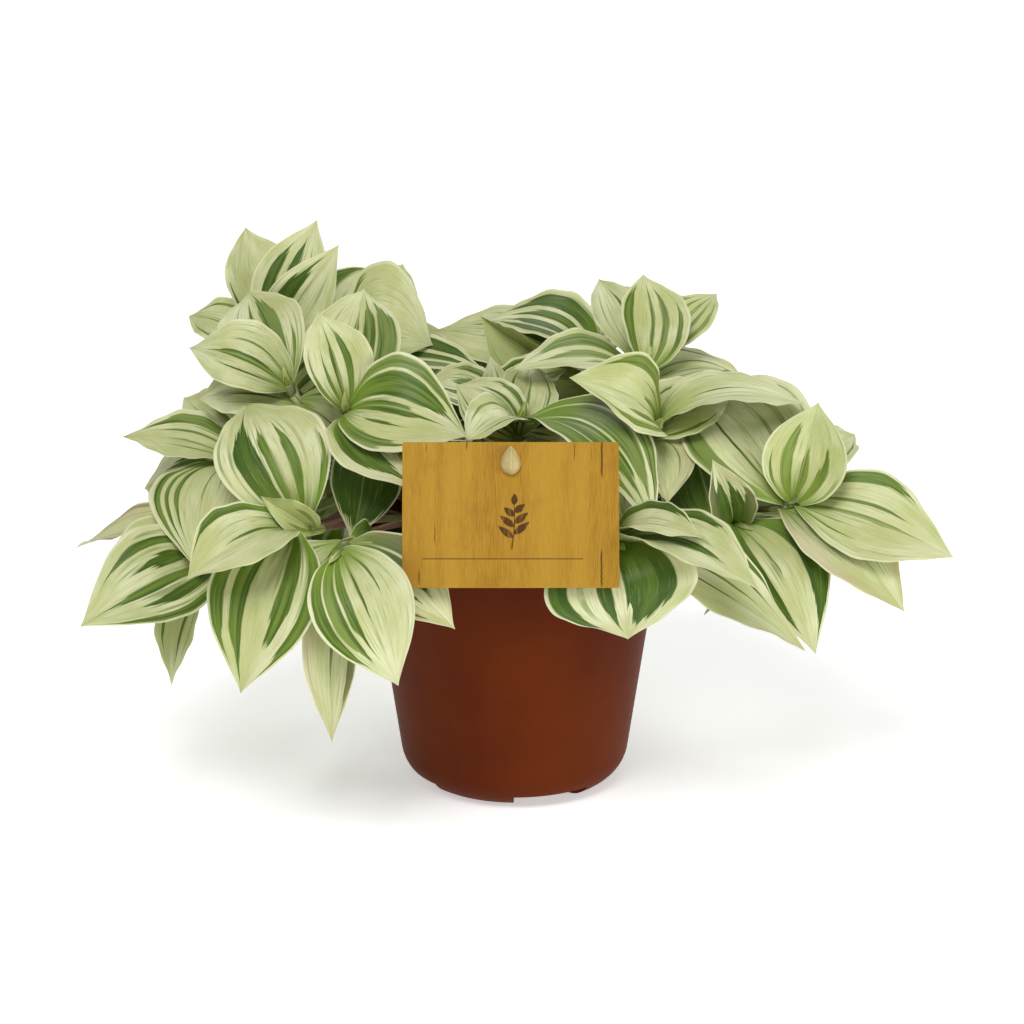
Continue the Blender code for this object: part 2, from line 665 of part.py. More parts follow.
def grow_front(thicket, roots):
    """Lays out the front shoots: {name: (stem points, blades)}."""
    grown = {}
    rng = random.Random(SEED)
    for shoot in SHOOTS:
        end, heading = from_eye(shoot.end), direction_from_eye(shoot.heading)
        root = pick_root(roots, end)
        points = settle_stem(thicket, shoot.name, root, end, heading) if root else None
        if points is None:
            continue
        roots.append(root)
        thicket.add(shoot.name, tube_shell(points[1:], STEM_RADIUS))
        grown[shoot.name] = (points, [])
    for shoot in SHOOTS:
        if shoot.name not in grown:
            continue
        points, blades = grown[shoot.name]
        for leaf in shoot.leaves:
            blade = settle_front_leaf(thicket, shoot.name, leaf, points, rng)
            if blade:
                keep_blade(thicket, shoot.name, blade, True)
                blades.append(blade)
    return grown


def point_back_along(points, distance):
    """The point this far back along a centre line from its end."""
    for near, far in zip(points[::-1], points[-2::-1]):
        step = (far - near).length
        if distance <= step:
            return near.lerp(far, distance / step)
        distance -= step
    return points[0]


def grow_back(thicket, roots):
    """Lays out the shoots of the sides and the back by rule: {name: (stem points, blades)}."""
    grown = {}
    rng = random.Random(BACK_SEED)
    for ring, count, out, height, upright in BACK_RINGS:
        for i in range(count):
            share = (i + 0.5) / count
            angle = BACK_SWEEP[0] + (BACK_SWEEP[1] - BACK_SWEEP[0]) * share
            angle += rng.uniform(-BACK_ANGLE_SPREAD, BACK_ANGLE_SPREAD)
            outward = Vector((math.cos(angle), math.sin(angle), 0))
            end = outward * (out * rng.uniform(*BACK_OUT_SPREAD))
            end.z = height * rng.uniform(*BACK_HEIGHT_SPREAD)
            heading = (outward + Vector((0, 0, upright))).normalized()
            name = f"{ring}_{i + 1}"
            shoot = grow_back_shoot(thicket, roots, name, end, heading, rng)
            if shoot:
                grown[name] = shoot
    return grown


def grow_back_shoot(thicket, roots, name, end, heading, rng):
    """One shoot of the back with its leaves turned about its stem, or None if it won't fit."""
    root = pick_root(roots, end)
    points = settle_stem(thicket, name, root, end, heading) if root else None
    if points is None:
        return None
    thicket.add(name, tube_shell(points[1:], STEM_RADIUS))
    blades = []
    around = heading.orthogonal().normalized()
    start = rng.uniform(0, 2 * math.pi)
    for k in range(BACK_LEAVES):
        age = k / (BACK_LEAVES - 1)
        turn = Quaternion(heading, start + LEAF_TURN * k)
        opened = LEAF_OPEN[0] + (LEAF_OPEN[1] - LEAF_OPEN[0]) * age
        reach = heading * math.cos(opened) + (turn @ around) * math.sin(opened)
        reach = (reach - Vector((0, 0, LEAF_DROOP))).normalized()
        length = rng.uniform(*BACK_LENGTH) * (YOUNG_SHARE + (1 - YOUNG_SHARE) * min(1.0, 2 * age))
        face = (heading - reach * heading.dot(reach)).normalized()
        base = point_back_along(points, NODE_SPACING * k)
        width = length * rng.uniform(*BACK_WIDTH_SHARE)
        blade = settle_back_leaf(thicket, name, base, reach * length, face, width, rng)
        if blade:
            keep_blade(thicket, name, blade, False)
            blades.append(blade)
    if not blades:
        thicket.placed.pop()
        return None
    roots.append(root)
    return points, blades


def material(name, colour, roughness, metallic=0.0):
    """A plain surface in the part's colour."""
    finish = bpy.data.materials.new(name)
    finish.use_nodes = True
    shader = finish.node_tree.nodes["Principled BSDF"]
    shader.inputs["Base Color"].default_value = (*colour, 1.0)
    shader.inputs["Roughness"].default_value = roughness
    shader.inputs["Metallic"].default_value = metallic
    finish.diffuse_color = (*colour, 1.0)
    return finish


def add_object(name, mesh, collection, finish=None):
    """Puts a mesh in the scene as an object."""
    item = bpy.data.objects.new(name, mesh)
    collection.objects.link(item)
    if finish:
        mesh.materials.append(finish)
    return item


def mesh_from_shell(name, shell):
    """A mesh in metres from corners and faces in millimetres."""
    mesh = bpy.data.meshes.new(name)
    mesh.from_pydata([corner * MM for corner in shell[0]], [], shell[1])
    return mesh


def tube_object(name, points, radius, collection, resolution=1, tilt=0.0):
    """A round tube along points, closed at both ends, as a mesh."""
    data = bpy.data.curves.new(name, "CURVE")
    data.dimensions = "3D"
    data.bevel_depth = radius * MM
    data.bevel_resolution = resolution
    data.use_fill_caps = True
    line = data.splines.new("POLY")
    line.points.add(len(points) - 1)
    for control, point in zip(line.points, points):
        control.co = (*(point * MM), 1.0)
        control.tilt = tilt
    curve = bpy.data.objects.new(name + "_path", data)
    collection.objects.link(curve)
    bpy.context.view_layer.update()
    graph = bpy.context.evaluated_depsgraph_get()
    mesh = bpy.data.meshes.new_from_object(curve.evaluated_get(graph))
    weld(mesh)
    tube = bpy.data.objects.new(name, mesh)
    tube.matrix_world = curve.matrix_world
    collection.objects.link(tube)
    bpy.data.objects.remove(curve)
    return tube


def weld(mesh, distance=0.01):
    """Joins corners that lie on each other, and turns the faces outward."""
    grid = bmesh.new()
    grid.from_mesh(mesh)
    bmesh.ops.remove_doubles(grid, verts=grid.verts, dist=distance * MM)
    bmesh.ops.recalc_face_normals(grid, faces=grid.faces)
    grid.to_mesh(mesh)
    grid.free()


def cutter(name, mesh, cutters):
    """An object that only cuts."""
    item = add_object(name, mesh, cutters)
    item.hide_render = True
    item.display_type = "WIRE"
    return item


def cylinder_mesh(name, radius, height, sides, middle, turn=0.0):
    """An upright cylinder about a point."""
    grid = bmesh.new()
    bmesh.ops.create_cone(grid, cap_ends=True, segments=sides, radius1=radius * MM,
                          radius2=radius * MM, depth=height * MM)
    bmesh.ops.rotate(grid, verts=grid.verts, matrix=Quaternion((0, 0, 1), turn).to_matrix())
    bmesh.ops.translate(grid, verts=grid.verts, vec=middle * MM)
    mesh = bpy.data.meshes.new(name)
    grid.to_mesh(mesh)
    grid.free()
    return mesh


def cut(item, tool, operation="DIFFERENCE"):
    """Adds a Boolean modifier."""
    change = item.modifiers.new(tool.name, "BOOLEAN")
    change.operation = operation
    change.object = tool
    change.solver = "EXACT"


def pot_profile():
    """The pot's half section, down its outer side, under its foot and up its inner side."""
    rim = wall_radius(POT_HEIGHT)
    band_z = POT_HEIGHT - RIM_BAND_HEIGHT
    outer = [
        (rim - WALL + RIM_EDGE, POT_HEIGHT),
        (rim + RIM_BAND_STEP - RIM_EDGE, POT_HEIGHT),
        (rim + RIM_BAND_STEP, POT_HEIGHT - RIM_EDGE),
        (wall_radius(band_z) + RIM_BAND_STEP, band_z + RIM_EDGE),
        (wall_radius(band_z), band_z - RIM_EDGE),
    ]
    corner = []
    for i in range(CORNER_STEPS + 1):
        angle = WALL_ANGLE + (math.pi / 2 - WALL_ANGLE) * i / CORNER_STEPS
        corner.append((FOOT_RADIUS + CORNER_RADIUS * math.cos(angle),
                       CORNER_RADIUS - CORNER_RADIUS * math.sin(angle)))
    foot = [(FOOT_INNER_RADIUS, 0.0), (FOOT_INNER_RADIUS, FOOT_HEIGHT), (0.0, FOOT_HEIGHT)]
    floor = FOOT_HEIGHT + WALL
    inner_wall = wall_radius(floor + INNER_CORNER) - WALL
    step = INNER_CORNER_SHARE * INNER_CORNER
    inner = [
        (0.0, floor),
        (inner_wall - INNER_CORNER, floor),
        (inner_wall - step, floor + step),
        (inner_wall, floor + INNER_CORNER),
        (rim - WALL, POT_HEIGHT - RIM_EDGE),
    ]
    return outer + corner + foot + inner


def make_pot(parts, cutters):
    """The pot: turned, with four notches in its foot and drain holes in its base."""
    profile = pot_profile()
    mesh = bpy.data.meshes.new("pot")
    axis = [i for i, (r, _) in enumerate(profile) if r == 0.0][0]
    edges = [(i, (i + 1) % len(profile)) for i in range(len(profile)) if i != axis]
    mesh.from_pydata([(r * MM, 0.0, z * MM) for r, z in profile], edges, [])
    pot = add_object("pot", mesh, parts, material("pot plastic", (0.155, 0.030, 0.010), 0.42))
    turned = pot.modifiers.new("turned", "SCREW")
    turned.axis = "Z"
    turned.steps = POT_STEPS
    turned.render_steps = POT_STEPS
    turned.use_merge_vertices = True
    turned.merge_threshold = 0.00001
    turned.use_smooth_shade = True
    notch = notch_mesh()
    for i in range(NOTCH_COUNT):
        tool = cutter(f"notch_cutter_{i + 1}", notch, cutters)
        tool.rotation_euler.z = -math.pi / 2 + NOTCH_MIDDLE + i * 2 * math.pi / NOTCH_COUNT
        cut(pot, tool)
    for i in range(DRAIN_COUNT):
        angle = 2 * math.pi * (i + 0.5) / DRAIN_COUNT
        middle = Vector((DRAIN_RING * math.cos(angle), DRAIN_RING * math.sin(angle), FOOT_HEIGHT))
        drain = cylinder_mesh("drain_cutter", DRAIN_RADIUS, 4 * WALL, DRAIN_SIDES, middle)
        cut(pot, cutter(f"drain_cutter_{i + 1}", drain, cutters))


def notch_mesh():
    """A sector of a ring about the Z axis, from below the ground to a notch's height."""
    outer = FOOT_RADIUS + CORNER_RADIUS
    section = ((NOTCH_INNER_RADIUS, -1.0), (outer, -1.0),
               (outer, NOTCH_HEIGHT), (NOTCH_INNER_RADIUS, NOTCH_HEIGHT))
    corners, faces = [], []
    for i in range(NOTCH_STEPS + 1):
        angle = NOTCH_WIDTH * (i / NOTCH_STEPS - 0.5)
        corners += [Vector((r * math.cos(angle), r * math.sin(angle), z)) for r, z in section]
    for i in range(NOTCH_STEPS):
        for k in range(4):
            a, b = 4 * i + k, 4 * i + (k + 1) % 4
            faces.append((a, a + 4, b + 4, b))
    faces += [(0, 1, 2, 3), tuple(4 * NOTCH_STEPS + k for k in (3, 2, 1, 0))]
    mesh = mesh_from_shell("notch_cutter", (corners, faces))
    weld(mesh)
    return mesh


def soil_height(x, y):
    """The height of the soil's crumbly, slightly domed top."""
    share = math.hypot(x, y) / wall_radius(SOIL_TOP)
    bumps = noise(Vector((x, y, 0)) * SOIL_BUMP_RATE) * SOIL_ROUGHNESS
    return SOIL_TOP + SOIL_DOME * (1 - share * share) - SOIL_ROUGHNESS + bumps


def ring_of_corners(radius, height):
    """The corners of one ring of the soil; height is a number or a function of x and y."""
    corners = []
    for k in range(SOIL_STEPS):
        angle = 2 * math.pi * k / SOIL_STEPS
        x, y = radius * math.cos(angle), radius * math.sin(angle)
        corners.append(Vector((x, y, height(x, y) if callable(height) else height)))
    return corners


def soil_shell():
    """The corners and faces of the soil, before its holes."""
    floor = FOOT_HEIGHT + WALL + SEAT_GAP
    shoulder = floor + SOIL_CORNER
    inset = WALL + SEAT_GAP + FACET_DEPTH
    edge = wall_radius(SOIL_TOP - 2 * SOIL_ROUGHNESS) - inset
    corners = [Vector((0, 0, soil_height(0, 0)))]
    for i in range(SOIL_RINGS):
        corners += ring_of_corners(edge * (i + 1) / SOIL_RINGS, soil_height)
    corners += ring_of_corners(wall_radius(shoulder) - inset, shoulder)
    corners += ring_of_corners(wall_radius(shoulder) - inset - SOIL_CORNER, floor)
    faces = [(0, 1 + k, 1 + (k + 1) % SOIL_STEPS) for k in range(SOIL_STEPS)]
    for i in range(SOIL_RINGS + 1):
        for k in range(SOIL_STEPS):
            a, b = 1 + i * SOIL_STEPS + k, 1 + i * SOIL_STEPS + (k + 1) % SOIL_STEPS
            faces += [(a, a + SOIL_STEPS, b + SOIL_STEPS), (a, b + SOIL_STEPS, b)]
    last = 1 + (SOIL_RINGS + 1) * SOIL_STEPS
    faces.append(tuple(last + k for k in reversed(range(SOIL_STEPS))))
    return corners, faces


def make_soil(roots, parts, cutters):
    """The soil: fills the pot, with a plain hole for each stem and for the stake."""
    mesh = mesh_from_shell("soil", soil_shell())
    weld(mesh)
    soil = add_object("soil", mesh, parts, material("soil", (0.018, 0.012, 0.008), 0.95))
    for i, place in enumerate(roots):
        middle = place + Vector((0, 0, HOLE_CUT / 2 - HOLE_DEPTH))
        tool = cylinder_mesh("hole_cutter", HOLE_RADIUS, HOLE_CUT, HOLE_SIDES, middle)
        cut(soil, cutter(f"hole_cutter_{i + 1}", tool, cutters))


def make_card(parts, cutters):
    """The card, with the hole it hangs by."""
    grid = bmesh.new()
    bmesh.ops.create_cube(grid, size=1.0)
    bmesh.ops.scale(grid, vec=Vector((CARD_WIDTH, CARD_THICKNESS, CARD_HEIGHT)) * MM, verts=grid.verts)
    mesh = bpy.data.meshes.new("card")
    grid.to_mesh(mesh)
    grid.free()
    card = add_object("card", mesh, parts, material("printed card", (0.50, 0.28, 0.055), 0.55))
    _, out = card_axes()
    card.location = (CARD_MIDDLE + out * (CARD_THICKNESS / 2)) * MM
    card.rotation_euler.x = -CARD_LEAN
    rounded = card.modifiers.new("rounded corners", "BEVEL")
    rounded.width = CARD_CORNER * MM
    rounded.segments = 3
    rounded.limit_method = "WEIGHT"
    weights = mesh.attributes.new("bevel_weight_edge", "FLOAT", "EDGE")
    for edge in mesh.edges:
        ends = [mesh.vertices[i].co for i in edge.vertices]
        goes_through = abs(ends[0].y - ends[1].y) > CARD_THICKNESS * MM / 2
        weights.data[edge.index].value = 1.0 if goes_through else 0.0
    hole = cylinder_mesh("card_hole_cutter", CARD_HOLE_RADIUS, 8 * CARD_THICKNESS, CARD_HOLE_SIDES,
                         Vector((0, 0, 0)))
    tool = cutter("card_hole_cutter", hole, cutters)
    up, _ = card_axes()
    tool.location = (CARD_MIDDLE + up * CARD_HOLE_UP) * MM
    tool.rotation_euler.x = math.pi / 2 - CARD_LEAN
    cut(card, tool)


def stake_head_mesh():
    """The teardrop head: flat against the card, rounded before it."""
    up, out = card_axes()
    front = CARD_MIDDLE + up * CARD_HOLE_UP + out * (CARD_THICKNESS + SEAT_GAP)
    grid = bmesh.new()
    bmesh.ops.create_uvsphere(grid, u_segments=KNOB_SEGMENTS, v_segments=KNOB_RINGS, radius=MM)
    for vert in grid.verts:
        x, y, z = vert.co / MM
        tall = KNOB_DROP_TOP if y > 0 else KNOB_DROP_BOTTOM
        narrow = 1.0 - KNOB_NARROWING * max(0.0, y) ** 1.5
        spot = front + Vector((x * KNOB_RADIUS * narrow, 0, 0)) + up * (y * tall)
        vert.co = (spot + out * (max(0.0, z) * KNOB_LENGTH)) * MM
    head = bpy.data.meshes.new("head")
    grid.to_mesh(head)
    grid.free()
    weld(head)
    return head


def make_stake(parts, cutters):
    """The stake: a round shaft with a collar behind the card and a teardrop head before it."""
    up, out = card_axes()
    shaft = tube_object("card_stake", stake_points(), STAKE_RADIUS, parts, 2, STAKE_TILT)
    shaft.data.materials.append(material("stake plastic", (0.60, 0.52, 0.30), 0.5))
    cut(shaft, cutter("head_shape", stake_head_mesh(), cutters), "UNION")
    collar = cylinder_mesh("collar_shape", COLLAR_RADIUS, COLLAR_THICKNESS, COLLAR_SIDES, Vector((0, 0, 0)))
    ring = cutter("collar_shape", collar, cutters)
    behind = SEAT_GAP + COLLAR_THICKNESS / 2
    ring.location = (CARD_MIDDLE + up * CARD_HOLE_UP - out * behind) * MM
    ring.rotation_euler.x = math.pi / 2 - CARD_LEAN
    cut(shaft, ring, "UNION")


def make_shoot(name, points, blades, finish, parts):
    """A shoot: its stem and blades, joined into one body."""
    resolution = 1 if blades[0].columns == FRONT_COLUMNS else 0
    shoot = tube_object(name, points, STEM_RADIUS, parts, resolution)
    shoot.data.materials.clear()
    shoot.data.materials.append(finish)
    repeats = bpy.data.collections.new(name + "_blades")
    bpy.context.scene.collection.children.link(repeats)
    for i, blade in enumerate(blades):
        shell = blade_shell(blade, BLADE_THICKNESS)
        add_object(f"{name}_blade_{i + 1}", mesh_from_shell("blade", shell), repeats)
    union = shoot.modifiers.new("union", "BOOLEAN")
    union.operation = "UNION"
    union.operand_type = "COLLECTION"
    union.collection = repeats
    union.solver = "MANIFOLD"
    bpy.context.view_layer.update()
    graph = bpy.context.evaluated_depsgraph_get()
    joined = bpy.data.meshes.new_from_object(shoot.evaluated_get(graph))
    joined.name = name
    shoot.modifiers.clear()
    shoot.data = joined
    keep_main_body(joined)
    for item in list(repeats.objects):
        bpy.data.objects.remove(item)
    bpy.data.collections.remove(repeats)


def is_closed(grid):
    """Whether every edge has two faces, turned alike."""
    return all(edge.is_manifold and edge.is_contiguous for edge in grid.edges)


def keep_main_body(mesh):
    """Drops loose scraps, sealed hollows and slivers: only the largest skin stays."""
    for distance in WELD_DISTANCES:
        grid = bmesh.new()
        grid.from_mesh(mesh)
        bmesh.ops.triangulate(grid, faces=grid.faces)
        if distance:
            bmesh.ops.dissolve_degenerate(grid, edges=grid.edges, dist=distance * MM)
            bmesh.ops.triangulate(grid, faces=grid.faces)
        keep_largest_skin(grid)
        if is_closed(grid):
            grid.to_mesh(mesh)
        grid.free()


def keep_largest_skin(grid):
    """Deletes every connected skin but the one with the most corners."""
    waiting = set(grid.verts)
    skins = []
    while waiting:
        skin, edge = set(), [waiting.pop()]
        while edge:
            vert = edge.pop()
            skin.add(vert)
            for line in vert.link_edges:
                other = line.other_vert(vert)
                if other in waiting:
                    waiting.remove(other)
                    edge.append(other)
        skins.append(skin)
    largest = max(skins, key=len)
    bmesh.ops.delete(grid, geom=[v for v in grid.verts if v not in largest], context="VERTS")


def centre_over_origin(parts):
    """Moves every object level, until the origin is under the middle of the part's box."""
    bpy.context.view_layer.update()
    graph = bpy.context.evaluated_depsgraph_get()
    corners = []
    for item in parts.objects:
        mesh = item.evaluated_get(graph).to_mesh()
        corners += [item.matrix_world @ vert.co for vert in mesh.vertices]
    shift = Vector((0, 0, 0))
    for axis in (0, 1):
        reach = [corner[axis] for corner in corners]
        shift[axis] = -(min(reach) + max(reach)) / 2
    for item in bpy.data.objects:
        item.location += shift


def main():
    """Builds the potted plant."""
    for item in list(bpy.data.objects):
        bpy.data.objects.remove(item)
    parts = bpy.data.collections.new("potted_tradescantia")
    cutters = bpy.data.collections.new("cutters")
    bpy.context.scene.collection.children.link(parts)
    bpy.context.scene.collection.children.link(cutters)

    thicket = Thicket()
    roots = []
    shoots = grow_front(thicket, roots)
    shoots.update(grow_back(thicket, roots))

    make_pot(parts, cutters)
    make_card(parts, cutters)
    make_stake(parts, cutters)
    make_soil(roots + [STAKE_SOIL], parts, cutters)
    leaf = material("leaf", (0.42, 0.52, 0.20), 0.5)
    for name, (points, blades) in shoots.items():
        make_shoot(name, points, blades, leaf, parts)
    centre_over_origin(parts)


main()
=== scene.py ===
"""Looks of the potted tradescantia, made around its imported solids.

Lengths are in millimetres about the pot's axis, and the Plot turns them into the frame's metres.
The foliage is laid out by the rules that its solids follow, and its blades are then made finely.
"""

from __future__ import annotations

import logging
import math
import random
from dataclasses import dataclass
from enum import Enum
from itertools import product
from typing import NamedTuple, Optional, Sequence, Union

import bmesh
import bpy
import numpy as np
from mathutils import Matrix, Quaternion, Vector
from mathutils.bvhtree import BVHTree
from mathutils.noise import noise

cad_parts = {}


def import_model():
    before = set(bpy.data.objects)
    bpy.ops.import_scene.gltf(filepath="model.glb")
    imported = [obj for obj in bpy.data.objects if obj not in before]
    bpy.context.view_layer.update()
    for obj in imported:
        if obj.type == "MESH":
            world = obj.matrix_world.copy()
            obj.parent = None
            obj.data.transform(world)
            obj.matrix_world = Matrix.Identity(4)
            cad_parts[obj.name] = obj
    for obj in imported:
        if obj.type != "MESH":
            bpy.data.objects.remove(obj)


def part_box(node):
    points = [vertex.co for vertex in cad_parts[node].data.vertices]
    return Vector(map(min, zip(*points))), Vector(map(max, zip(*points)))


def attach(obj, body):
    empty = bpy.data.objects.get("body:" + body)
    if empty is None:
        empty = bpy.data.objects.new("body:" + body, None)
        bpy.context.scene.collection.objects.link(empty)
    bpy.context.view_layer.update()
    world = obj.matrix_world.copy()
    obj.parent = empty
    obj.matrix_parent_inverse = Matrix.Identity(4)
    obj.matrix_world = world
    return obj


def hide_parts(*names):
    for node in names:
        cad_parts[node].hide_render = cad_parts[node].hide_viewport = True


log = logging.getLogger("potted_tradescantia")

MM = 0.001
SEED = 4
BACK_SEED = 5

Shell = tuple[list[Vector], list[tuple[int, ...]]]
Number = Union["Value", float]


class Tone(Enum):
    """The greens of a stripe, from the deepest to the most washed out."""

    DARK = 0.0
    LEAF = 0.33
    BRIGHT = 0.66
    GREY = 1.0


DARK, LEAF, BRIGHT, GREY = Tone


class Kind(Enum):
    """A blade striped by rule: how many stripes, how wide, and in which tones."""

    PALE = ((2, 4), (0.025, 0.07), (LEAF, GREY))
    LINED = ((3, 6), (0.04, 0.1), (LEAF, BRIGHT, LEAF))
    BANDED = ((3, 5), (0.1, 0.2), (LEAF, DARK, GREY))
    GREEN = ((4, 5), (0.15, 0.24), (DARK, LEAF, DARK))


class Stripe(NamedTuple):
    """A stripe along a blade.

    It is centred at a place across it, -1 to 1, positive on the right-hand side of one who looks from
    the base to the tip, and runs from start to end as shares of the blade's length.
    """

    centre: float
    half: float
    tone: Tone = LEAF
    end: float = 1.0
    start: float = 0.0


class Leaf(NamedTuple):
    """A leaf of a shoot in the front, placed as seen from the eye; its look may list its stripes."""

    tip: tuple
    width: float
    face: tuple = (0.0, 0.5, 0.85)
    bow: float = 0.16
    fold: float = 0.22
    down: float = 0.0
    look: Union[Kind, tuple] = Kind.LINED
    young: float = 0.0
    rosy: float = 0.0


class Shoot(NamedTuple):
    """A stem of the front: where it ends and heads as seen from the eye, and its leaves."""

    name: str
    end: tuple
    heading: tuple
    leaves: tuple


@dataclass(frozen=True)
class Eye:
    """Where the foliage is laid out from: in front of the pot, a little above it."""

    distance: float = 1500.0
    height_angle: float = math.radians(18.61)
    look_at: Vector = Vector((0.0, 0.0, 110.0))

    def axes(self) -> tuple[Vector, Vector, Vector]:
        """Right, up and nearer as seen from the eye."""
        cos, sin = math.cos(self.height_angle), math.sin(self.height_angle)
        return Vector((1, 0, 0)), Vector((0, sin, cos)), Vector((0, -cos, sin))

    def point(self, seen: Sequence[float]) -> Vector:
        """The point that the eye sees at (right, up, nearer).

        Args:
            seen: the place as seen.

        Returns:
            The point about the pot's axis.
        """
        right, up, nearer = self.axes()
        share = (self.distance - seen[2]) / self.distance
        return self.look_at + (right * seen[0] + up * seen[1]) * share + nearer * seen[2]

    def seen(self, point: Vector) -> tuple[float, float, float]:
        """Where the eye sees a point: (right, up, nearer).

        Args:
            point: a point about the pot's axis.

        Returns:
            The place as seen.
        """
        right, up, nearer = self.axes()
        offset = point - self.look_at
        near = offset.dot(nearer)
        share = self.distance / (self.distance - near)
        return offset.dot(right) * share, offset.dot(up) * share, near

    def direction(self, seen: Sequence[float]) -> Vector:
        """A direction given as (right, up, nearer)."""
        right, up, nearer = self.axes()
        return (right * seen[0] + up * seen[1] + nearer * seen[2]).normalized()


EYE = Eye()

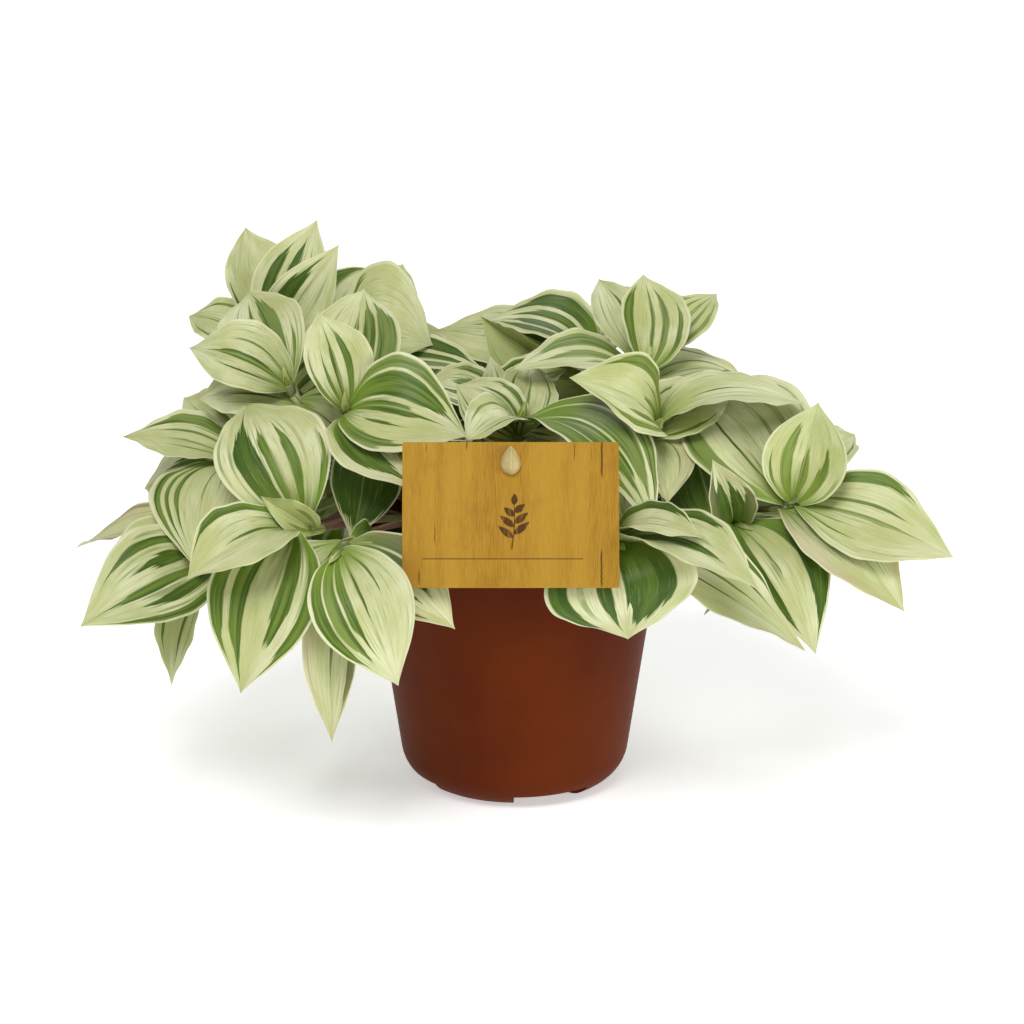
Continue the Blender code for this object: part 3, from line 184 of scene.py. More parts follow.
# Places as seen: right of the pot's axis, above the look-at point, nearer to the eye.
# The rows of a look are what each Stripe is made of
SHOOTS = (
    Shoot("shoot_front_left", (-90, -5, 58), (-0.5, 0.1, 0.85), (
        Leaf((-111, -71, 74), 45, (-0.1, 0.25, 1), 0.2, 0.15, 2, look=((0.84, 0.13, LEAF, 0.93),
            (0.42, 0.13), (-0.36, 0.14, LEAF, 0.84), (-0.84, 0.12, LEAF, 0.96))),
        Leaf((-133, -25, 100), 36, (-0.05, 0.65, 0.75), 0.12, look=((0.86, 0.1, LEAF, 0.85),
            (0.1, 0.04, LEAF, 0.7, 0.05))),
        Leaf((-109, 47, 30), 47, (0.1, 0.1, 1), 0.24, 0.15, 6, look=((-0.42, 0.19, DARK, 0.86, 0.05),
            (-0.06, 0.08, LEAF, 0.8, 0.05), (0.3, 0.09, LEAF, 0.75, 0.05), (0.88, 0.09, LEAF, 0.5))),
        Leaf((-103, 9, 68), 15, (0.15, -0.1, 1), 0.1, 0.5, young=0.7, look=((-0.5, 0.12, BRIGHT, 0.6),
            (0.5, 0.12, BRIGHT, 0.6))),
    )),
    Shoot("shoot_upper_left", (-68, 43, 42), (-0.05, 0.5, 0.85), (
        Leaf((-80, 84, 42), 30, (0.35, -0.1, 0.9), 0.12, 0.3, look=((-0.85, 0.1, LEAF, 0.55),
            (-0.4, 0.07, LEAF, 0.6, 0.1), (-0.05, 0.08, LEAF, 0.85, 0.04), (0.32, 0.09, LEAF, 0.9, 0.04))),
        Leaf((-61, 93, 18), 40, (-0.1, -0.1, 1), 0.16, 0.2, 3, look=((0.0, 0.06, LEAF, 0.86, 0.1),
            (0.3, 0.13, GREY, 0.95, 0.02), (0.7, 0.18, GREY, 0.93))),
        Leaf((-19, 33, 60), 44, (0.05, 0.65, 0.75), 0.26, 0.12, look=((-0.82, 0.1, GREY),
            (-0.42, 0.2, LEAF, 0.96), (0.02, 0.11, LEAF, 0.82), (0.36, 0.05, DARK, 0.66, 0.3),
            (0.8, 0.14, GREY, 0.7))),
        Leaf((-35, 10, 70), 44, (0.05, 0.45, 0.9), 0.18, 0.12, 4, look=((-0.78, 0.12, GREY, 0.9),
            (-0.18, 0.24, LEAF, 0.92), (0.5, 0.24, LEAF, 0.9))),
        # Painted shade: this blade is striped dark green over its whole width so that it stands for the deep
        # shadow in the gap left of the card.
        Leaf((-66, -10, 48), 30, (0.3, 0.0, 0.95), 0.15, 0.2, 16, look=((0.0, 0.9, DARK),)),
    )),
    Shoot("shoot_left_crown", (-98, 68, -14), (-0.2, 0.95, 0.1), (
        Leaf((-109, 118, -30), 35, (0.3, 0, 0.95), 0.1, 0.3, look=((-0.12, 0.04, LEAF, 0.52, 0.1),
            (-0.88, 0.08, LEAF, 0.5))),
        Leaf((-80, 121, -14), 32, (-0.15, 0, 1), 0.12, 0.2, look=((-0.55, 0.12, DARK, 0.85, 0.1),
            (-0.1, 0.13, DARK, 0.92, 0.05), (0.36, 0.07, DARK, 0.8, 0.15), (0.78, 0.09, LEAF, 0.6))),
        Leaf((-71, 111, 0), 28, (0, 0, 1), 0.12, 0.3, look=((-0.5, 0.2, DARK, 0.88),
            (-0.08, 0.05, DARK, 0.55, 0.1))),
        Leaf((-132, 82, -40), 26, (-0.3, 0.6, 0.6), 0.2, 0.3, 12, look=Kind.PALE),
    )),
    Shoot("shoot_left_shoulder", (-91, 52, 20), (-0.2, 0.7, 0.65), (
        Leaf((-108, 92, -10), 37, (-0.1, 0.15, 1), 0.22, 0.15, look=((0.26, 0.17, GREY, 0.92),
            (-0.14, 0.09, GREY, 0.85), (0.68, 0.06, LEAF, 0.5, 0.1), (-0.82, 0.12, LEAF, 0.36))),
        Leaf((-132, 69, 10), 32, (-0.1, 0.45, 0.85), 0.28, 0.15, look=((0.0, 0.1, LEAF, 0.85, 0.05),
            (0.42, 0.03, LEAF, 0.7, 0.1), (-0.42, 0.03, LEAF, 0.7, 0.1))),
        Leaf((-128, 48, 26), 30, (-0.1, 0.5, 0.85), 0.28, 0.15, 5, look=((-0.22, 0.04, DARK, 0.8, 0.1),
            (0.28, 0.04, DARK, 0.7, 0.15))),
        Leaf((-66, 30, 4), 34, (0.2, 0.3, 0.9), 0.15, 0.2, 6, look=Kind.PALE),
    )),
    Shoot("shoot_back_left", (-68, 70, -34), (0.1, 0.95, 0.1), (
        Leaf((-33, 70, -20), 58, (0.05, 0.6, 0.8), 0.42, 0.08, look=((-0.9, 0.1, LEAF, 0.42),
            (0.3, 0.03, LEAF, 0.88, 0.55))),
        Leaf((-98, 42, -34), 36, (-0.2, 0.4, 0.9), 0.15, 0.2),
        Leaf((-45, 103, -40), 46, (-0.3, 0.2, 0.9), 0.15, 0.2, 2, look=((-0.85, 0.12, LEAF, 0.9),)),
        Leaf((-12, 60, -6), 28, (0.1, 0.75, 0.65), 0.15, 0.25, 14, look=((-0.6, 0.2, DARK),
            (-0.08, 0.12, DARK), (0.5, 0.2))),
    )),
    Shoot("shoot_far_left", (-112, 22, 8), (-0.9, 0.25, 0.2), (
        Leaf((-128, -22, 50), 46, (-0.45, 0.3, 0.85), 0.22, 0.12, look=((0.84, 0.06),
            (0.66, 0.04, LEAF, 0.9), (0.48, 0.05, LEAF, 0.85), (0.0, 0.025, LEAF, 0.7, 0.1),
            (-0.34, 0.025, LEAF, 0.6, 0.1))),
        Leaf((-159, 33, 4), 30, (-0.1, 0.5, 0.85), 0.12, 0.2, 3, look=((0.7, 0.14, BRIGHT, 0.9),
            (0.3, 0.04, BRIGHT, 0.8, 0.05), (-0.02, 0.04, LEAF, 0.75, 0.05),
            (-0.36, 0.04, LEAF, 0.7, 0.05))),
        Leaf((-134, 49, -8), 28, (-0.2, 0.3, 0.9), 0.15, 0.2, 8),
        Leaf((-150, 12, -18), 36, (-0.1, 0.5, 0.85), 0.12, 0.15, 5, look=Kind.BANDED),
    )),
    Shoot("shoot_low_left", (-120, -18, 22), (-0.85, -0.35, 0.3), (
        Leaf((-176, -44, 56), 44, (0.0, 0.4, 0.9), 0.16, 0.15, look=((-0.88, 0.1, LEAF, 0.95),
            (-0.46, 0.11, DARK, 0.72, 0.1), (-0.1, 0.1, LEAF, 0.92), (0.3, 0.13, DARK, 0.64, 0.18),
            (0.68, 0.08, LEAF, 0.82))),
        Leaf((-170, -27, 22), 38, (0.0, 0.8, 0.6), 0.24, 0.12, 4, look=((-0.52, 0.13, DARK, 0.9),
            (0.0, 0.15, DARK, 0.95), (0.52, 0.1, DARK, 0.86))),
        Leaf((-178, -12, -6), 32, (0.15, 0.8, 0.5), 0.14, 0.25, 9, rosy=0.6, look=((0.9, 0.07, LEAF, 0.9),
            (-0.9, 0.06, LEAF, 0.8))),
        Leaf((-139, -68, 30), 24, (-0.6, 0.1, 0.8), 0.12, 0.4, look=Kind.PALE),
        Leaf((-152, -30, -22), 32, (-0.3, 0.7, -0.4), 0.2, 0.2, 6),
    )),
    Shoot("shoot_pot_left", (-71, -13, 72), (-0.15, -0.3, 0.95), (
        Leaf((-47, -68, 88), 41, (-0.1, 0.3, 0.95), 0.2, 0.15, look=((0.84, 0.1, LEAF, 0.92),
            (0.56, 0.12, BRIGHT, 0.9), (0.28, 0.09, LEAF, 0.8), (-0.04, 0.04, DARK, 0.62, 0.08),
            (-0.42, 0.05, LEAF, 0.42, 0.02))),
        Leaf((-24, -45, 78), 32, (0.2, 0.45, 0.9), 0.12, 0.2, 2, look=Kind.GREEN),
        Leaf((-50, -15, 58), 18, (0.0, 0.8, 0.6), 0.15, 0.3, look=Kind.GREEN),
        Leaf((-74, -91, 62), 26, (-0.2, 0.1, 0.95), 0.08, 0.5, 6, rosy=0.35, look=((-0.8, 0.16, LEAF, 0.9),
            (0.1, 0.05, GREY, 0.8, 0.1))),
        Leaf((-98, -52, 48), 28, (-0.5, 0.2, 0.8), 0.15, 0.3, 10, look=Kind.PALE),
    )),
    Shoot("shoot_pot_right", (41, -10, 62), (0.3, -0.1, 0.95), (
        Leaf((46, -49, 60), 60, (0, 0.0, 1), 0.46, 0.05, 3, look=((0.86, 0.14, DARK, 0.95),
            (0.24, 0.09, DARK, 0.93), (-0.38, 0.3, DARK, 0.92))),
        Leaf((76, -8, 94), 24, (0.0, 0.75, 0.65), 0.15, 0.3, look=((-0.84, 0.17, DARK, 0.9),
            (0.04, 0.05, LEAF, 0.85))),
        Leaf((99, -29, 88), 36, (0.1, 0.8, 0.6), 0.12, 0.35, look=((-0.86, 0.12, DARK, 0.7),
            (-0.1, 0.09, LEAF, 0.8))),
        Leaf((118, -54, 58), 36, (0.2, 0.65, 0.7), 0.1, 0.2, 5, look=((-0.88, 0.08, LEAF, 0.8),
            (-0.5, 0.04, LEAF, 0.8, 0.1), (-0.18, 0.03, LEAF, 0.85, 0.1), (0.2, 0.03, LEAF, 0.7, 0.15))),
        Leaf((12, -28, 76), 30, (-0.1, 0.6, 0.75), 0.2, 0.2, 5, look=Kind.GREEN),
    )),
    Shoot("shoot_behind_card", (2, 38, 28), (0.15, 0.7, 0.7), (
        Leaf((57, -4, 60), 50, (0.55, 0.55, 0.6), 0.26, 0.12, look=((-0.8, 0.13, GREY),
            (-0.38, 0.19, GREY, 0.97), (0.12, 0.2, LEAF, 0.95), (0.64, 0.22, LEAF, 0.95))),
        Leaf((-20, 31, 58), 26, (0.0, 0.8, 0.6), 0.18, 0.2, look=Kind.PALE),
        Leaf((-24, 54, 24), 28, (-0.2, 0.5, 0.8), 0.2, 0.25, 4),
        Leaf((6, 62, 8), 26, (0.1, -0.2, 1), 0.15, 0.35, look=Kind.PALE),
        Leaf((4, 2, 52), 34, (0.0, 0.5, 0.85), 0.2, 0.2, 8, look=Kind.BANDED),
    )),
    Shoot("shoot_right", (113, 6, 14), (0.65, 0.35, 0.7), (
        Leaf((71, 54, -8), 56, (0.15, 0.3, 0.95), 0.24, 0.12, 3, look=((-0.8, 0.15, GREY, 0.92, 0.1),
            (-0.28, 0.022, LEAF, 0.9, 0.05))),
        Leaf((123, 47, 22), 38, (-0.1, -0.2, 1), 0.12, 0.4, young=0.3, look=((-0.42, 0.13, BRIGHT, 0.86),
            (0.06, 0.11, BRIGHT, 0.62), (0.5, 0.12, BRIGHT, 0.6), (-0.8, 0.05, LEAF, 0.5))),
        Leaf((178, -16, 30), 42, (0.05, 0.5, 0.85), 0.1, 0.12, look=((-0.84, 0.12, LEAF, 0.72),
            (-0.3, 0.04, BRIGHT, 0.76, 0.04), (-0.02, 0.05, BRIGHT, 0.88, 0.04),
            (0.28, 0.04, BRIGHT, 0.46, 0.04), (0.56, 0.05, LEAF, 0.42))),
        Leaf((158, -38, 50), 40, (0.1, 0.65, 0.75), 0.14, 0.15, 3, rosy=0.4, look=((-0.8, 0.08, GREY, 0.75),
            (-0.48, 0.08, GREY, 0.7), (-0.1, 0.04, LEAF, 0.5, 0.05))),
        Leaf((138, 34, -28), 26, (0.3, 0.7, 0.3), 0.15, 0.3, 5, look=Kind.PALE),
    )),
    Shoot("shoot_low_right", (88, -2, 8), (0.6, -0.1, 0.8), (
        Leaf((122, -55, 44), 42, (0.3, 0.45, 0.85), 0.15, 0.2, look=((0.56, 0.18, DARK, 0.96),
            (0.0, 0.04, DARK, 0.6, 0.1), (-0.74, 0.2, DARK, 0.96))),
        # Painted shade: this blade is striped dark green over its whole width so that it stands for the deep
        # shadow in the gap right of the card.
        Leaf((72, 30, 12), 38, (0.0, -0.3, 0.95), 0.15, 0.2, 4, look=((0.0, 0.9, DARK),)),
        Leaf((80, 24, 40), 22, (0.6, 0.1, 0.75), 0.15, 0.35, look=Kind.GREEN),
        Leaf((134, -26, -28), 34, (0.2, 0.8, 0.0), 0.2, 0.2, 8),
    )),
    Shoot("shoot_right_crown", (53, 59, -12), (0.1, 0.95, 0.2), (
        Leaf((52, 99, -18), 36, (0.3, -0.1, 0.9), 0.1, 0.5, look=((-0.72, 0.16, LEAF, 0.9),
            (0.12, 0.05, GREY, 0.95), (0.42, 0.08, GREY, 0.9), (0.78, 0.06, BRIGHT, 0.7))),
        Leaf((34, 97, -40), 26, (0.2, -0.1, 1), 0.12, 0.35, look=((0.2, 0.05, LEAF, 0.9, 0.3),)),
        Leaf((82, 91, -30), 26, (-0.2, 0.3, 0.9), 0.12, 0.25, young=0.2, look=((-0.7, 0.08, BRIGHT, 0.9),
            (-0.35, 0.07, BRIGHT, 0.92), (0.0, 0.07, BRIGHT, 0.95), (0.36, 0.07, BRIGHT, 0.9),
            (0.72, 0.08, BRIGHT, 0.85))),
        Leaf((-1, 60, 12), 33, (-0.1, 0.8, 0.6), 0.15, 0.15, look=((0.6, 0.18, GREY, 0.9),
            (0.08, 0.14, GREY, 0.85), (-0.42, 0.1, GREY, 0.7, 0.05))),
        Leaf((98, 52, -34), 38, (0.2, 0.85, 0.3), 0.2, 0.15, 8, look=Kind.PALE),
    )),
    Shoot("shoot_middle_right", (57, 36, 18), (0.2, 0.4, 0.9), (
        Leaf((22, 57, 40), 36, (-0.1, 0.5, 0.85), 0.2, 0.2, young=0.25, look=((-0.72, 0.08, LEAF, 0.85),
            (-0.42, 0.08, BRIGHT, 0.6), (-0.12, 0.05, BRIGHT, 0.5), (0.18, 0.07, LEAF, 0.5),
            (0.46, 0.05, BRIGHT, 0.45), (0.8, 0.12, LEAF, 0.8))),
        Leaf((118, 46, 6), 38, (0.1, 0.9, 0.4), 0.18, 0.12, 2, look=((-0.2, 0.04, DARK, 0.7, 0.35),)),
        Leaf((88, 50, 34), 34, (0.1, 0.7, 0.7), 0.14, 0.15, look=Kind.PALE),
        Leaf((62, 6, 48), 28, (0.3, 0.2, 0.9), 0.15, 0.25, 6, look=Kind.PALE),
    )),
    Shoot("shoot_top_middle", (33, 60, -46), (-0.1, 0.95, 0.1), (
        Leaf((-14, 82, -20), 42, (-0.2, -0.5, 0.8), 0.14, 0.75, young=0.75, look=((-0.3, 0.05, BRIGHT, 0.5),
            (0.3, 0.05, BRIGHT, 0.5))),
        Leaf((-12, 80, -52), 46, (0.1, 0.85, 0.5), 0.24, 0.15, look=((-0.66, 0.14, DARK, 0.95),
            (-0.22, 0.15, DARK, 0.9), (0.2, 0.1, LEAF, 0.85), (0.62, 0.17, DARK, 0.92))),
        Leaf((-33, 76, -50), 34, (0.0, 0.5, 0.85), 0.14, 0.2, 6, look=((0.4, 0.1, LEAF, 0.8),
            (0.0, 0.05, LEAF, 0.8))),
        Leaf((60, 66, -84), 34, (0.3, 0.7, -0.4), 0.2, 0.2),
    )),
    Shoot("shoot_centre", (-8, 42, -4), (0.05, 0.9, 0.4), (
        Leaf((-38, 54, 0), 28, (0.0, 0.7, 0.7), 0.2, 0.2, look=Kind.BANDED),
        Leaf((22, 60, -12), 28, (0.1, 0.7, 0.7), 0.2, 0.25),
        Leaf((-10, 68, -24), 28, (-0.1, 0.1, 1), 0.2, 0.3, look=Kind.PALE),
        Leaf((-32, 34, 26), 28, (-0.2, 0.6, 0.7), 0.2, 0.2, 4, look=Kind.GREEN),
    )),
)

STRIPE_LIMIT = 6


def paint(red: float, green: float, blue: float) -> tuple[float, float, float, float]:
    """The linear colour of a display colour.

    Args:
        red, green, blue: the display values, 0 to 255.

    Returns:
        The colour for a shader, with full cover.
    """
    linear = []
    for value in (red / 255, green / 255, blue / 255):
        linear.append(value / 12.92 if value <= 0.04045 else ((value + 0.055) / 1.055) ** 2.4)
    return (*linear, 1.0)


class Value:
    """What a material works out at each place: a number, a vector or a colour."""

    def __init__(self, graph: Graph, socket: bpy.types.NodeSocket) -> None:
        """Keeps a result of the graph."""
        self.graph = graph
        self.socket = socket

    def __add__(self, other: Number) -> Value:
        """The sum."""
        return self.graph.math("ADD", self, other)

    def __sub__(self, other: Number) -> Value:
        """The difference."""
        return self.graph.math("SUBTRACT", self, other)

    def __mul__(self, other: Number) -> Value:
        """The product."""
        return self.graph.math("MULTIPLY", self, other)

    def __abs__(self) -> Value:
        """The number without its sign."""
        return self.graph.math("ABSOLUTE", self)

    def rise(self, low: Number, high: Number) -> Value:
        """A soft step from 0 where the number is low to 1 where it is high."""
        node = self.graph.node("ShaderNodeMapRange", self, low, high, interpolation_type="SMOOTHSTEP")
        return Value(self.graph, node.outputs[0])

    def split(self) -> list[Value]:
        """The three numbers of a vector."""
        node = self.graph.node("ShaderNodeSeparateXYZ", self)
        return [Value(self.graph, socket) for socket in node.outputs]


class Graph:
    """A material's node tree, written as formulas."""

    def __init__(self, name: str) -> None:
        """Starts a material with its shader.

        Args:
            name: the material's name.
        """
        self.material = bpy.data.materials.new(name)
        self.material.use_nodes = True
        self.tree = self.material.node_tree
        self.shader = self.tree.nodes["Principled BSDF"]

    def feed(self, target: bpy.types.NodeSocket, value: Union[Number, tuple]) -> None:
        """Links a socket to a value, or sets it.

        Args:
            target: the socket.
            value: what it gets.
        """
        if isinstance(value, Value):
            self.tree.links.new(value.socket, target)
        else:
            target.default_value = value

    def node(self, kind: str, *values: Union[Number, tuple], **settings: object) -> bpy.types.Node:
        """Adds a node.

        Args:
            kind: the node's type.
            values: what its first inputs get, in order.
            settings: its own properties.

        Returns:
            The node.
        """
        node = self.tree.nodes.new(kind)
        for name, setting in settings.items():
            setattr(node, name, setting)
        for socket, value in zip(node.inputs, values):
            self.feed(socket, value)
        return node

    def math(self, operation: str, *values: Number) -> Value:
        """One arithmetic step."""
        return Value(self, self.node("ShaderNodeMath", *values, operation=operation).outputs[0])

    def mix(self, share: Number, low: Union[Value, tuple], high: Union[Value, tuple]) -> Value:
        """A colour between two others.

        Args:
            share: how much of the second colour there is, 0 to 1.
            low, high: the two colours.

        Returns:
            The mixed colour.
        """
        node = self.tree.nodes.new("ShaderNodeMix")
        node.data_type = "RGBA"
        self.feed(node.inputs["Factor"], share)
        colours = [socket for socket in node.inputs if socket.type == "RGBA"]
        self.feed(colours[0], low)
        self.feed(colours[1], high)
        return Value(self, next(socket for socket in node.outputs if socket.type == "RGBA"))

    def ramp(self, value: Number, *stops: tuple[float, tuple]) -> Value:
        """A colour that changes with a value.

        Args:
            value: the value.
            stops: the places on it and their colours.

        Returns:
            The colour.
        """
        node = self.node("ShaderNodeValToRGB", value)
        bar = node.color_ramp
        while len(bar.elements) < len(stops):
            bar.elements.new(0.5)
        for element, (place, colour) in zip(bar.elements, stops):
            element.position = place
            element.color = colour
        return Value(self, node.outputs[0])

    def vector(self, *values: Number) -> Value:
        """A vector of three numbers."""
        return Value(self, self.node("ShaderNodeCombineXYZ", *values).outputs[0])

    def attribute(self, name: str) -> list[Value]:
        """The three numbers of a mesh attribute."""
        return Value(self, self.node("ShaderNodeAttribute", attribute_name=name).outputs["Vector"]).split()

    def spot(self) -> Value:
        """The place on the object, in metres."""
        return Value(self, self.node("ShaderNodeTexCoord").outputs["Object"])

    def noise(self, vector: Value, scale: float, detail: float = 2.0, roughness: float = 0.5) -> Value:
        """Cloudy noise, 0 to 1.

        Args:
            vector: the place.
            scale: how fine it is.
            detail: how many finer layers it has.
            roughness: how strong they are.

        Returns:
            The noise.
        """
        node = self.node("ShaderNodeTexNoise", vector)
        for name, value in (("Scale", scale), ("Detail", detail), ("Roughness", roughness)):
            node.inputs[name].default_value = value
        return Value(self, node.outputs[0])

    def cells(self, vector: Value, scale: float) -> Value:
        """The distance from the nearest of scattered points, as a share of their spacing.

        Args:
            vector: the place.
            scale: how fine they are.

        Returns:
            The distance.
        """
        node = self.node("ShaderNodeTexVoronoi", vector)
        node.inputs["Scale"].default_value = scale
        return Value(self, node.outputs["Distance"])

    def finish(self, colour: Value, roughness: Value, height: Value, depth: float,
               **settings: object) -> bpy.types.Material:
        """Dresses the shader.

        Args:
            colour: the base colour.
            roughness: the roughness.
            height: the relief, 0 to 1.
            depth: how deep the relief is, in metres.
            settings: other inputs of the shader, with underscores for blanks.

        Returns:
            The material.
        """
        bump = self.tree.nodes.new("ShaderNodeBump")
        bump.inputs["Strength"].default_value = 1.0
        bump.inputs["Distance"].default_value = depth
        self.feed(bump.inputs["Height"], height)
        self.feed(self.shader.inputs["Base Color"], colour)
        self.feed(self.shader.inputs["Roughness"], roughness)
        self.tree.links.new(bump.outputs[0], self.shader.inputs["Normal"])
        for name, value in settings.items():
            self.shader.inputs[name.replace("_", " ")].default_value = value
        return self.material


@dataclass(frozen=True)
class LeafFinish:
    """A waxy blade: cream, with green stripes that run along it."""

    deep: tuple = paint(58, 86, 18)
    green: tuple = paint(88, 114, 34)
    bright: tuple = paint(124, 146, 60)
    grey: tuple = paint(126, 144, 76)
    cream: tuple = paint(190, 194, 132)
    pale: tuple = paint(222, 223, 180)
    line: tuple = paint(152, 168, 88)
    heart: tuple = paint(122, 152, 46)
    young: tuple = paint(172, 186, 84)
    rose: tuple = paint(186, 160, 128)
    under: tuple = paint(146, 160, 90)
    relief: float = 0.00025
    spread: float = 1.22
    rib_half: tuple = (0.028, 0.008)
    margin: tuple = (0.93, 0.965)

    def stripes(self, graph: Graph, across: Value, along: Value) -> tuple[Value, Value]:
        """The cover and tone of all the stripes.

        Args:
            graph: the material that is being written.
            across: the place across the blade, -1 to 1.
            along: the place along it, 0 to 1.

        Returns:
            How much green covers the place, and which green.
        """
        cover: Number = 0.0
        tone: Number = 0.0
        for i in range(STRIPE_LIMIT):
            centre, half, green = graph.attribute(f"stripe_{i + 1}")
            start, end, _ = graph.attribute(f"reach_{i + 1}")
            reach = along.rise(start - 0.06, start + 0.14) * along.rise(end, end - 0.3)
            width = half * self.spread * reach
            off = abs(across - centre)
            mask = off.rise(width, graph.math("MAXIMUM", width - 0.03, width * 0.5))
            core = off.rise(width * 0.7, 0.0) * 0.22
            tone = (green + core - tone) * mask + tone
            cover = graph.math("MAXIMUM", cover, mask)
        return cover, tone

    def make(self) -> bpy.types.Material:
        """The material: greens and creams first, then rib, heart, youth, flush, margin and underside.

        Returns:
            The material.
        """
        graph = Graph("leaf")
        across, along, side = graph.attribute("blade_place")
        seed, young, rosy = graph.attribute("blade_traits")
        sway = graph.noise(graph.vector(along * 2.6, across, seed), 1.0, 3.0)
        streak_place = graph.vector(across * 9.0, along * 0.9, seed)
        streak = graph.noise(streak_place, 1.5, 4.0, 0.6)
        fine = graph.noise(streak_place, 5.0, 3.0, 0.6)
        ragged = (streak - 0.5) * 0.5 + along
        cover, tone = self.stripes(graph, (sway - 0.5) * 0.14 + across, ragged)

        green = graph.ramp(tone, (0.0, self.deep), (0.33, self.green), (0.66, self.bright), (1.0, self.grey))
        green = graph.mix(along.rise(0.5, 0.08) * 0.6, green, self.bright)
        green = graph.mix(fine.rise(0.5, 0.72) * 0.7, green, self.grey)
        green = graph.mix(streak.rise(0.54, 0.36) * 0.8, green, self.deep)
        cream = graph.mix(sway.rise(0.3, 0.7), self.cream, self.pale)
        cream = graph.mix(fine.rise(0.5, 0.7) * 0.6, cream, self.line)
        thin = graph.noise(graph.vector(across * 12.0, along * 1.1, seed + 17.0), 1.0, 1.0)
        lined = thin.rise(0.58, 0.66) * sway.rise(0.4, 0.6) * along.rise(0.96, 0.6)
        cream = graph.mix(lined * 0.75, cream, self.grey)
        colour = graph.mix(cover, cream, green)

        edge = abs(across)
        colour = graph.mix(edge.rise(*self.rib_half) * 0.45, colour, self.cream)
        colour = graph.mix(ragged.rise(0.3, 0.04) * 0.8, colour, self.heart)
        colour = graph.mix(young * (sway * 0.4 + 0.4), colour, self.young)
        colour = graph.mix(rosy * edge.rise(0.35, 1.0), colour, self.rose)
        colour = graph.mix(edge.rise(*self.margin) * 0.8, colour, self.pale)
        colour = graph.mix(graph.math("LESS_THAN", side, 0.0) * 0.4, colour, self.under)
        return graph.finish(colour, fine * 0.2 + 0.36, fine * 0.35 + streak * 0.65, self.relief,
                            Specular_IOR_Level=0.25, Subsurface_Weight=0.1,
                            Subsurface_Radius=(0.8, 1.0, 0.3), Subsurface_Scale=0.0012)


@dataclass(frozen=True)
class StemFinish:
    """A juicy stem: green below its skin, flushed red-brown, paler at its nodes."""

    green: tuple = paint(118, 134, 70)
    flush: tuple = paint(104, 66, 52)
    pale: tuple = paint(170, 168, 112)
    relief: float = 0.0002

    def make(self) -> bpy.types.Material:
        """The material.

        Returns:
            The material.
        """
        graph = Graph("stem")
        around, along, node = graph.attribute("stem_place")
        patch = graph.noise(graph.spot(), 70.0, 3.0)
        grain = graph.noise(graph.vector(around * 6.0, along * 0.05, patch), 3.0, 3.0)
        colour = graph.mix(patch.rise(0.34, 0.56), self.green, self.flush)
        colour = graph.mix(grain.rise(0.5, 0.7) * 0.4, colour, self.pale)
        colour = graph.mix(node * 0.6, colour, self.pale)
        return graph.finish(colour, grain * 0.2 + 0.36, grain, self.relief, Subsurface_Weight=0.08,
                            Subsurface_Radius=(1.0, 0.6, 0.3), Subsurface_Scale=0.001)


@dataclass(frozen=True)
class PotFinish:
    """Satin red-brown moulded plastic, a little dusty and rubbed."""

    body: tuple = paint(99, 40, 6)
    dark: tuple = paint(88, 32, 6)
    dust: tuple = paint(122, 62, 26)
    relief: float = 0.00006
    dusty_below: float = 0.03

    def make(self) -> bpy.types.Material:
        """The material.

        Returns:
            The material.
        """
        graph = Graph("pot plastic")
        spot = graph.spot()
        x, y, z = spot.split()
        cloud = graph.noise(spot, 22.0, 4.0)
        grain = graph.noise(spot, 1400.0, 2.0, 0.6)
        rub = graph.noise(graph.vector(x * 90.0, y * 90.0, z * 700.0), 1.0, 5.0, 0.65)
        colour = graph.mix(cloud.rise(0.3, 0.7), self.dark, self.body)
        dusty = rub.rise(0.6, 0.8) * (z.rise(self.dusty_below, 0.002) * 0.2 + 0.1)
        colour = graph.mix(dusty, colour, self.dust)
        return graph.finish(colour, rub * 0.16 + (cloud * 0.08 + 0.42), rub * 0.5 + grain * 0.5,
                            self.relief, Specular_IOR_Level=0.06)


@dataclass(frozen=True)
class SoilFinish:
    """Moist potting mix of peat and bark."""

    peat: tuple = paint(30, 22, 16)
    bark: tuple = paint(70, 48, 32)
    fibre: tuple = paint(112, 88, 62)
    relief: float = 0.0012

    def make(self) -> bpy.types.Material:
        """The material.

        Returns:
            The material.
        """
        graph = Graph("soil")
        spot = graph.spot()
        lump = graph.noise(spot, 260.0, 5.0, 0.7)
        crumb = graph.cells(spot, 420.0)
        colour = graph.mix(lump.rise(0.45, 0.65), self.peat, self.bark)
        colour = graph.mix(lump.rise(0.68, 0.76) * 0.7, colour, self.fibre)
        return graph.finish(colour, lump * 0.3 + 0.65, crumb * 0.6 + lump * 0.4, self.relief)


